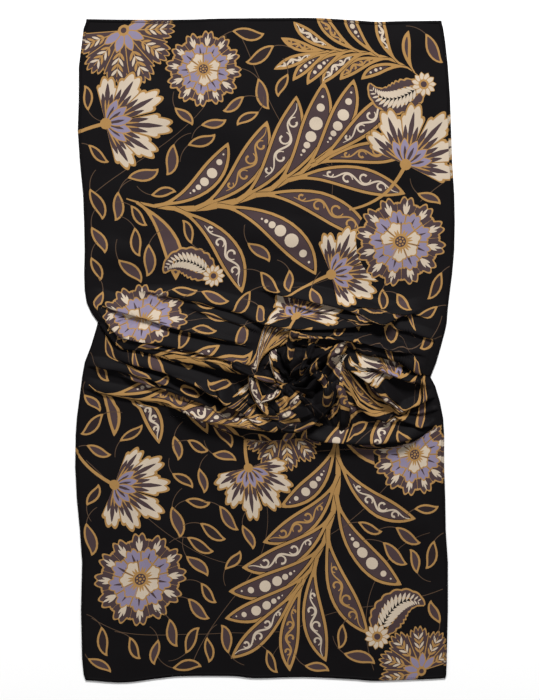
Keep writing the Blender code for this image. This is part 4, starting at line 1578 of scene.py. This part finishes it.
def make_swirl():
    points = np.vstack([core_rings.reshape(-1, 3), np.append(EYE, CORE_EYE)])
    tris = triangles_of(closed_grid(len(core_rings), CORE_ANGLES)[:, ::-1])
    first = np.arange(CORE_ANGLES)
    last = np.full(CORE_ANGLES, len(points) - 1)
    tris = np.vstack([tris, np.column_stack([first, (first + 1) % CORE_ANGLES, last])])
    angle, far = round_eye(points)
    twist = angle + 1.1 * np.log(far / 80.0 + 0.25)
    uv = np.column_stack([CORE_PLACE[0] + far * np.cos(twist), CORE_PLACE[1] - far * np.sin(twist)])
    angle, far = round_eye(points[tris].mean(axis=1))
    pleat = np.floor(pleat_phase(angle, np.clip(far / CORE_REACH, 0.01, 1.3)))
    u, v = (uv[tris].mean(axis=1) + CORE_STEP * pleat[:, None]).T
    print("swirl: %d triangles" % len(tris))
    return mesh_object("swirl", points, tris, ink_at(np.mod(u, WIDTH), v), uv)


swirl = make_swirl()

# %% [markdown]
# ## The strands of the swirl
# Over the pleats run loose strands of the same cloth, each one gripped near the eye and fading out
# into the folds around it. A strand is a small sheet of its own: threads laid over the surface
# below, which rays find from above, and printed from another place on the cloth. All of them are
# joined to the swirl, because they are the same piece of cloth.

# %% Where the strands lie
# Start, middle and end on the cloth, height, half widths at both ends, and where on the print.
STRAND_COLUMNS = ("x0", "y0", "x1", "y1", "x2", "y2", "high", "wide", "narrow", "u", "v")
STRANDS = [dict(zip(STRAND_COLUMNS, row)) for row in (
    (66, 54, 50, 8, 46, -36, 11, 13, 6, 30, 1030),
    (176, 12, 116, -14, 68, -62, 13, 16, 7, 218, 1245),
    (94, 26, 82, -14, 60, -58, 10, 11, 5, 620, 760),
    (70, -38, 118, -64, 106, -130, 12, 9, 12, 40, 1010),
    (130, -46, 150, -100, 146, -170, 11, 8, 11, 345, 800),
    (-18, -22, -12, -88, 38, -136, 11, 12, 10, 185, 770),
    (12, -126, 56, -146, 118, -110, 10, 10, 9, 560, 820),
    (-78, -12, -22, -42, 32, -58, 11, 13, 6, 300, 540),
    (18, 16, 20, -34, 42, -74, 10, 10, 5, 370, 950),
    (130, -152, 90, -112, 56, -80, 10, 10, 5, 640, 600),
    (-48, -96, 0, -90, 40, -68, 10, 11, 5, 135, 1238),
)]
STRAND_THREADS = 19
STRAND_ROWS = 64
# How deep its edges sink, how far it leans, its small pleats, and the room that it has for print.
STRAND_SUNK = 3.0
STRAND_LEAN = 0.5
STRAND_PLEAT = 1.3
STRAND_ROOM = 1.5
STRAND_ENDS = (0.0, 0.3, 1.0, 0.25)
ABOVE_ALL = 100.0
DOWN = Vector((0.0, 0.0, -1.0))


def surface_reader(objects):
    """A function that tells how high the cloth lies at a place, in millimetres."""
    trees = []
    for part in objects:
        spots = [vertex.co for vertex in part.data.vertices]
        trees.append(BVHTree.FromPolygons(spots, [face.vertices for face in part.data.polygons]))

    def height(x, y):
        start = Vector((x * MM, y * MM, ABOVE_ALL * MM))
        hits = [tree.ray_cast(start, DOWN)[0] for tree in trees]
        return max([hit.z / MM for hit in hits if hit is not None], default=0.0)

    return np.vectorize(height)


swirl_surface = surface_reader((upper_cloth, under_cloth, swirl))
print("cloth at the eye: %.1f mm high" % swirl_surface(*EYE))

# %% Laying the strands
def make_strand(strand):
    t = np.linspace(0.0, 1.0, STRAND_ROWS)
    line = bent_line(strand, STRAND_ROWS)
    side = sideways(line)
    across = np.linspace(-1.0, 1.0, STRAND_THREADS)[:, None]
    half = strand["wide"] + (strand["narrow"] - strand["wide"]) * t
    place = line + (across * half)[..., None] * side
    below = swirl_surface(place[..., 0], place[..., 1])
    fade = plateau(t, *STRAND_ENDS)
    full = 1.0 - np.abs(across) ** 2.2
    crown = evened(below.mean(axis=0), 9) + strand["high"] * fade
    pleats = STRAND_PLEAT * np.cos(across * 3.0 * math.pi + 2.0 * t) * full * fade
    z = below - STRAND_SUNK + (crown - below + STRAND_SUNK) * full * fade + pleats
    place = place - (STRAND_LEAN * strand["high"] * full * fade)[..., None] * side
    points = np.dstack([place, z])
    room = STRAND_ROOM * strand["wide"]
    used = strand["v"] + used_length(points, 0.0)
    sheet = (points, used, strand["u"] - room, strand["u"] + room)
    return printed_sheet("strand", sheet, grid_choice(STRAND_THREADS, ((STRAND_ROWS, 1, 1),)))


strands = [make_strand(strand) for strand in STRANDS]
with bpy.context.temp_override(active_object=swirl, selected_editable_objects=[swirl, *strands]):
    bpy.ops.object.join()
print("swirl with its strands: %d triangles" % len(swirl.data.polygons))

# %% [markdown]
# ## The hems
# A fine scarf has narrow hems, rolled over once and stitched. Each one is a low rounded section
# swept along the edge, and it carries the print on. The stitches repeat along it, so Geometry
# Nodes sets them out: points at even steps, a small thread loop on each, made real at the end.

# %% Hems
HEM_WIDTH = 6.0
HEM_HIGH = 2.8
# The hem's section, from the edge inwards: shares of its width and height.
HEM_SECTION = (
    (0.0, 0.0), (-0.02, 0.3), (0.02, 0.7), (0.2, 0.96), (0.5, 1.0),
    (0.8, 0.94), (0.97, 0.78), (1.0, 0.5), (1.0, 0.0),
)
HEM_STEP = 2.0
# A turned hem is thicker than the cloth beside it; its print is darkened by this share as painted shade
# along the rolled edge.
HEM_PAINTED_SHADE = 0.8
END_POINTS = 330
# The side hems stop this far short of the short ends and of the lip.
CORNER_GAP = 2.0
TOP_Y = 627.0
BOTTOM_Y = -624.0
notch_left, notch_right = LIP_LEFT[0, 1] - CORNER_GAP, LIP_RIGHT[-1, 1] - CORNER_GAP


def edge_run(side, y_from, y_to):
    """The part of a long edge between two heights, as (x, y) points."""
    y = np.linspace(y_from, y_to, max(2, int(abs(y_from - y_to) / HEM_STEP)))
    return np.column_stack([edge_x(y, side), y])


def flat_place(x, y):
    """Where a place near the scarf's edge lies on the flat cloth."""
    u = WIDTH * (x - edge_x(y, 1)) / (edge_x(y, 2) - edge_x(y, 1))
    v = np.where(y > 0.0, TOP_Y - y, LENGTH - (y - BOTTOM_Y))
    return np.column_stack([u, v])


def inner_line(line, inward, share):
    """A line beside an edge, inwards by a share of the hem's width."""
    return line + inward * HEM_WIDTH * share * sideways(line)


def hem(name, line, inward):
    """A rounded strip along an edge line, closed at both ends."""
    loops = [np.column_stack([inner_line(line, inward, share), np.full(len(line), HEM_HIGH * high)])
             for share, high in HEM_SECTION]
    points = np.stack(loops, axis=1).reshape(-1, 3)
    count = len(HEM_SECTION)
    sides = closed_grid(len(line), count)
    start = np.array([(0, k, k + 1) for k in range(1, count - 1)])
    end = start[:, ::-1] + (len(line) - 1) * count
    if inward > 0:
        tris = np.vstack([triangles_of(sides[:, ::-1]), start, end])
    else:
        tris = np.vstack([triangles_of(sides), start[:, ::-1], end[:, ::-1]])
    uv = flat_place(points[:, 0], points[:, 1])
    u, v = uv[tris].mean(axis=1).T
    # The hem's inks are darkened: painted shade along the rolled edge.
    return mesh_object(name, points, tris, ink_at(np.clip(u, 1, WIDTH - 1), v), uv, shade=HEM_PAINTED_SHADE)


HEM_LINES = {
    "hem_along_top": (along(TOP_LINE, END_POINTS), -1, "hem_top"),
    "hem_along_bottom": (along(BOTTOM_LINE, END_POINTS), 1, "hem_bottom"),
    "hem_left_upper": (edge_run(1, TOP_LINE[0, 1] - CORNER_GAP, notch_left), 1, "hem_upper_left"),
    "hem_right_upper": (edge_run(2, TOP_LINE[-1, 1] - CORNER_GAP, notch_right), -1, "hem_upper_right"),
    "hem_left_lower": (edge_run(1, notch_left, BOTTOM_LINE[0, 1] + CORNER_GAP), 1, "hem_lower_left"),
    "hem_right_lower": (edge_run(2, notch_right, BOTTOM_LINE[-1, 1] + CORNER_GAP), -1, "hem_lower_right"),
}
hems = {name: hem(name, line, inward) for name, (line, inward, _) in HEM_LINES.items()}
print("hems:", ", ".join(hems))

# %% Stitches by Geometry Nodes
STITCH_STEP = 4.0
STITCH_LONG = 2.4
STITCH_THICK = 0.45
# Where a row of stitches runs across the hem, and how high, in shares of the hem's own sizes.
STITCH_ACROSS = 0.8
STITCH_UP = 0.96
BEAD = {"Segments": 6, "Rings": 4, "Radius": 0.5}


def stitch_tree():
    """Thread loops at even steps along a curve."""
    tree = bpy.data.node_groups.new("stitches", "GeometryNodeTree")
    add_sockets(tree, "INPUT", {"Geometry": "Geometry", "Step": "Float", "Long": "Float",
                                "Thick": "Float", "Finish": "Material"})
    add_sockets(tree, "OUTPUT", {"Geometry": "Geometry"})
    nodes = tree.nodes
    inputs, outputs = nodes.new("NodeGroupInput"), nodes.new("NodeGroupOutput")
    steps = nodes.new("GeometryNodeCurveToPoints")
    steps.mode = "LENGTH"
    bead = nodes.new("GeometryNodeMeshUVSphere")
    for name, value in BEAD.items():
        bead.inputs[name].default_value = value
    size = nodes.new("ShaderNodeCombineXYZ")
    turn = nodes.new("FunctionNodeAlignRotationToVector")
    turn.axis = "X"
    place = nodes.new("GeometryNodeInstanceOnPoints")
    real = nodes.new("GeometryNodeRealizeInstances")
    smooth = nodes.new("GeometryNodeSetShadeSmooth")
    finish = nodes.new("GeometryNodeSetMaterial")
    for source, output, target, entry in (
        (inputs, "Geometry", steps, "Curve"),
        (inputs, "Step", steps, "Length"),
        (steps, "Points", place, "Points"),
        (steps, "Tangent", turn, "Vector"),
        (turn, "Rotation", place, "Rotation"),
        (bead, "Mesh", place, "Instance"),
        (inputs, "Long", size, "X"),
        (inputs, "Thick", size, "Y"),
        (inputs, "Thick", size, "Z"),
        (size, "Vector", place, "Scale"),
        (place, "Instances", real, "Geometry"),
        (real, "Geometry", smooth, "Geometry"),
        (smooth, "Geometry", finish, "Geometry"),
        (inputs, "Finish", finish, "Material"),
        (finish, "Geometry", outputs, "Geometry"),
    ):
        tree.links.new(source.outputs[output], target.inputs[entry])
    return tree


def stitches(name, lines, height):
    """Rows of stitches along several lines, as one plain mesh."""
    curve = bpy.data.curves.new(name + "_path", "CURVE")
    curve.dimensions = "3D"
    for line in lines:
        spline = curve.splines.new("POLY")
        spline.points.add(len(line) - 1)
        flat = np.column_stack([line * MM, np.full(len(line), height * MM), np.ones(len(line))])
        spline.points.foreach_set("co", flat.astype(np.float32).ravel())
    guide = add_object(name + "_path", curve)
    modifier = guide.modifiers.new("stitches", "NODES")
    modifier.node_group = stitch_tree()
    wanted = {"Step": STITCH_STEP * MM, "Long": STITCH_LONG * MM, "Thick": STITCH_THICK * MM,
              "Finish": thread_finish}
    for item in modifier.node_group.interface.items_tree:
        if item.in_out == "INPUT" and item.name in wanted:
            modifier[item.identifier] = wanted[item.name]
    bpy.context.view_layer.update()
    result = guide.evaluated_get(bpy.context.evaluated_depsgraph_get())
    mesh = bpy.data.meshes.new_from_object(result)
    mesh.name = name
    bpy.data.objects.remove(guide, do_unlink=True)
    return add_object(name, mesh)


stitch_rows = [inner_line(line, inward, STITCH_ACROSS) for line, inward, _ in HEM_LINES.values()]
hem_stitches = stitches("hem_stitches", stitch_rows, HEM_HIGH * STITCH_UP)
print("stitches: %d triangles" % sum(len(p.vertices) - 2 for p in hem_stitches.data.polygons))

# %% [markdown]
# ## Handing the pieces to the frame
# The scarf is one rigid body here, so every piece rides on it. Each stretch of cloth stands for the
# solids under it, which are hidden.

# %% Ride and replace
for piece in (upper_cloth, under_cloth, lower_cloth, swirl, hem_stitches, *hems.values()):
    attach(piece, "root")
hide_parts("upper_panel", "upper_gather")
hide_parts("under_gather_left", "under_gather_right")
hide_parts("lower_panel")
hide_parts("twist_core")
for name, (_, _, node) in HEM_LINES.items():
    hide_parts(node)

# %% [markdown]
# ## Floor, light and camera
# The scarf was photographed from straight above as a cut-out on white. A pale floor, wide soft
# lights from both long sides and a weak sky keep the black deep and let the folds catch a sheen. A
# long lens high above keeps the edges as straight as they were.

# %% Stage
VIEW_HEIGHT = 1.3245
VIEW_CENTRE = (0.0095, 0.001)
LENS = 150.0
SENSOR = 36.0
FAR_END = 100.0
FLOOR_HALF = 14.0
FLOOR_LOW = -0.0005
PAPER = (0.97, 0.97, 0.97, 1.0)
PAPER_ROUGH = 0.9
SKY = (1.0, 0.99, 0.98, 1.0)
SKY_STRENGTH = 0.06
# Each window: its place, what it aims at, its two sizes and its power.
WINDOWS = {
    "left_window": ((-3.0, -1.0, 2.4), (0.0, -0.3, 0.0), (1.3, 2.2), 44.0),
    "right_window": ((3.0, -1.0, 2.4), (0.0, -0.3, 0.0), (1.3, 2.2), 34.0),
    "top_window": ((0.3, 3.4, 2.8), (0.0, -0.4, 0.0), (2.2, 1.0), 285.0),
}


def make_floor():
    mesh = bpy.data.meshes.new("floor")
    corners = [(x * FLOOR_HALF, y * FLOOR_HALF, FLOOR_LOW) for x, y in ((-1, -1), (1, -1), (1, 1), (-1, 1))]
    mesh.from_pydata(corners, [], [(0, 1, 2, 3)])
    paper = bpy.data.materials.new("pale_paper")
    paper.use_nodes = True
    shader = paper.node_tree.nodes["Principled BSDF"]
    shader.inputs["Base Color"].default_value = PAPER
    shader.inputs["Roughness"].default_value = PAPER_ROUGH
    mesh.materials.append(paper)
    add_object("floor", mesh)


def soft_light(name, place, aim, size, power):
    data = bpy.data.lights.new(name, "AREA")
    data.shape = "RECTANGLE"
    data.size, data.size_y = size
    data.energy = power
    lamp = add_object(name, data)
    lamp.location = place
    lamp.rotation_euler = (Vector(aim) - Vector(place)).to_track_quat("-Z", "Y").to_euler()


def make_sky():
    world = bpy.data.worlds.new("studio")
    world.use_nodes = True
    sky = world.node_tree.nodes["Background"]
    sky.inputs["Color"].default_value = SKY
    sky.inputs["Strength"].default_value = SKY_STRENGTH
    bpy.context.scene.world = world


def make_camera():
    data = bpy.data.cameras.new("overhead")
    data.lens = LENS
    data.sensor_width = SENSOR
    data.clip_end = FAR_END
    camera = add_object("overhead", data)
    camera.location = (*VIEW_CENTRE, VIEW_HEIGHT * LENS / SENSOR)
    bpy.context.scene.camera = camera


make_floor()
for name, window in WINDOWS.items():
    soft_light(name, *window)
make_sky()
bpy.context.scene.view_settings.view_transform = "Standard"
make_camera()
print("lights:", ", ".join(WINDOWS))
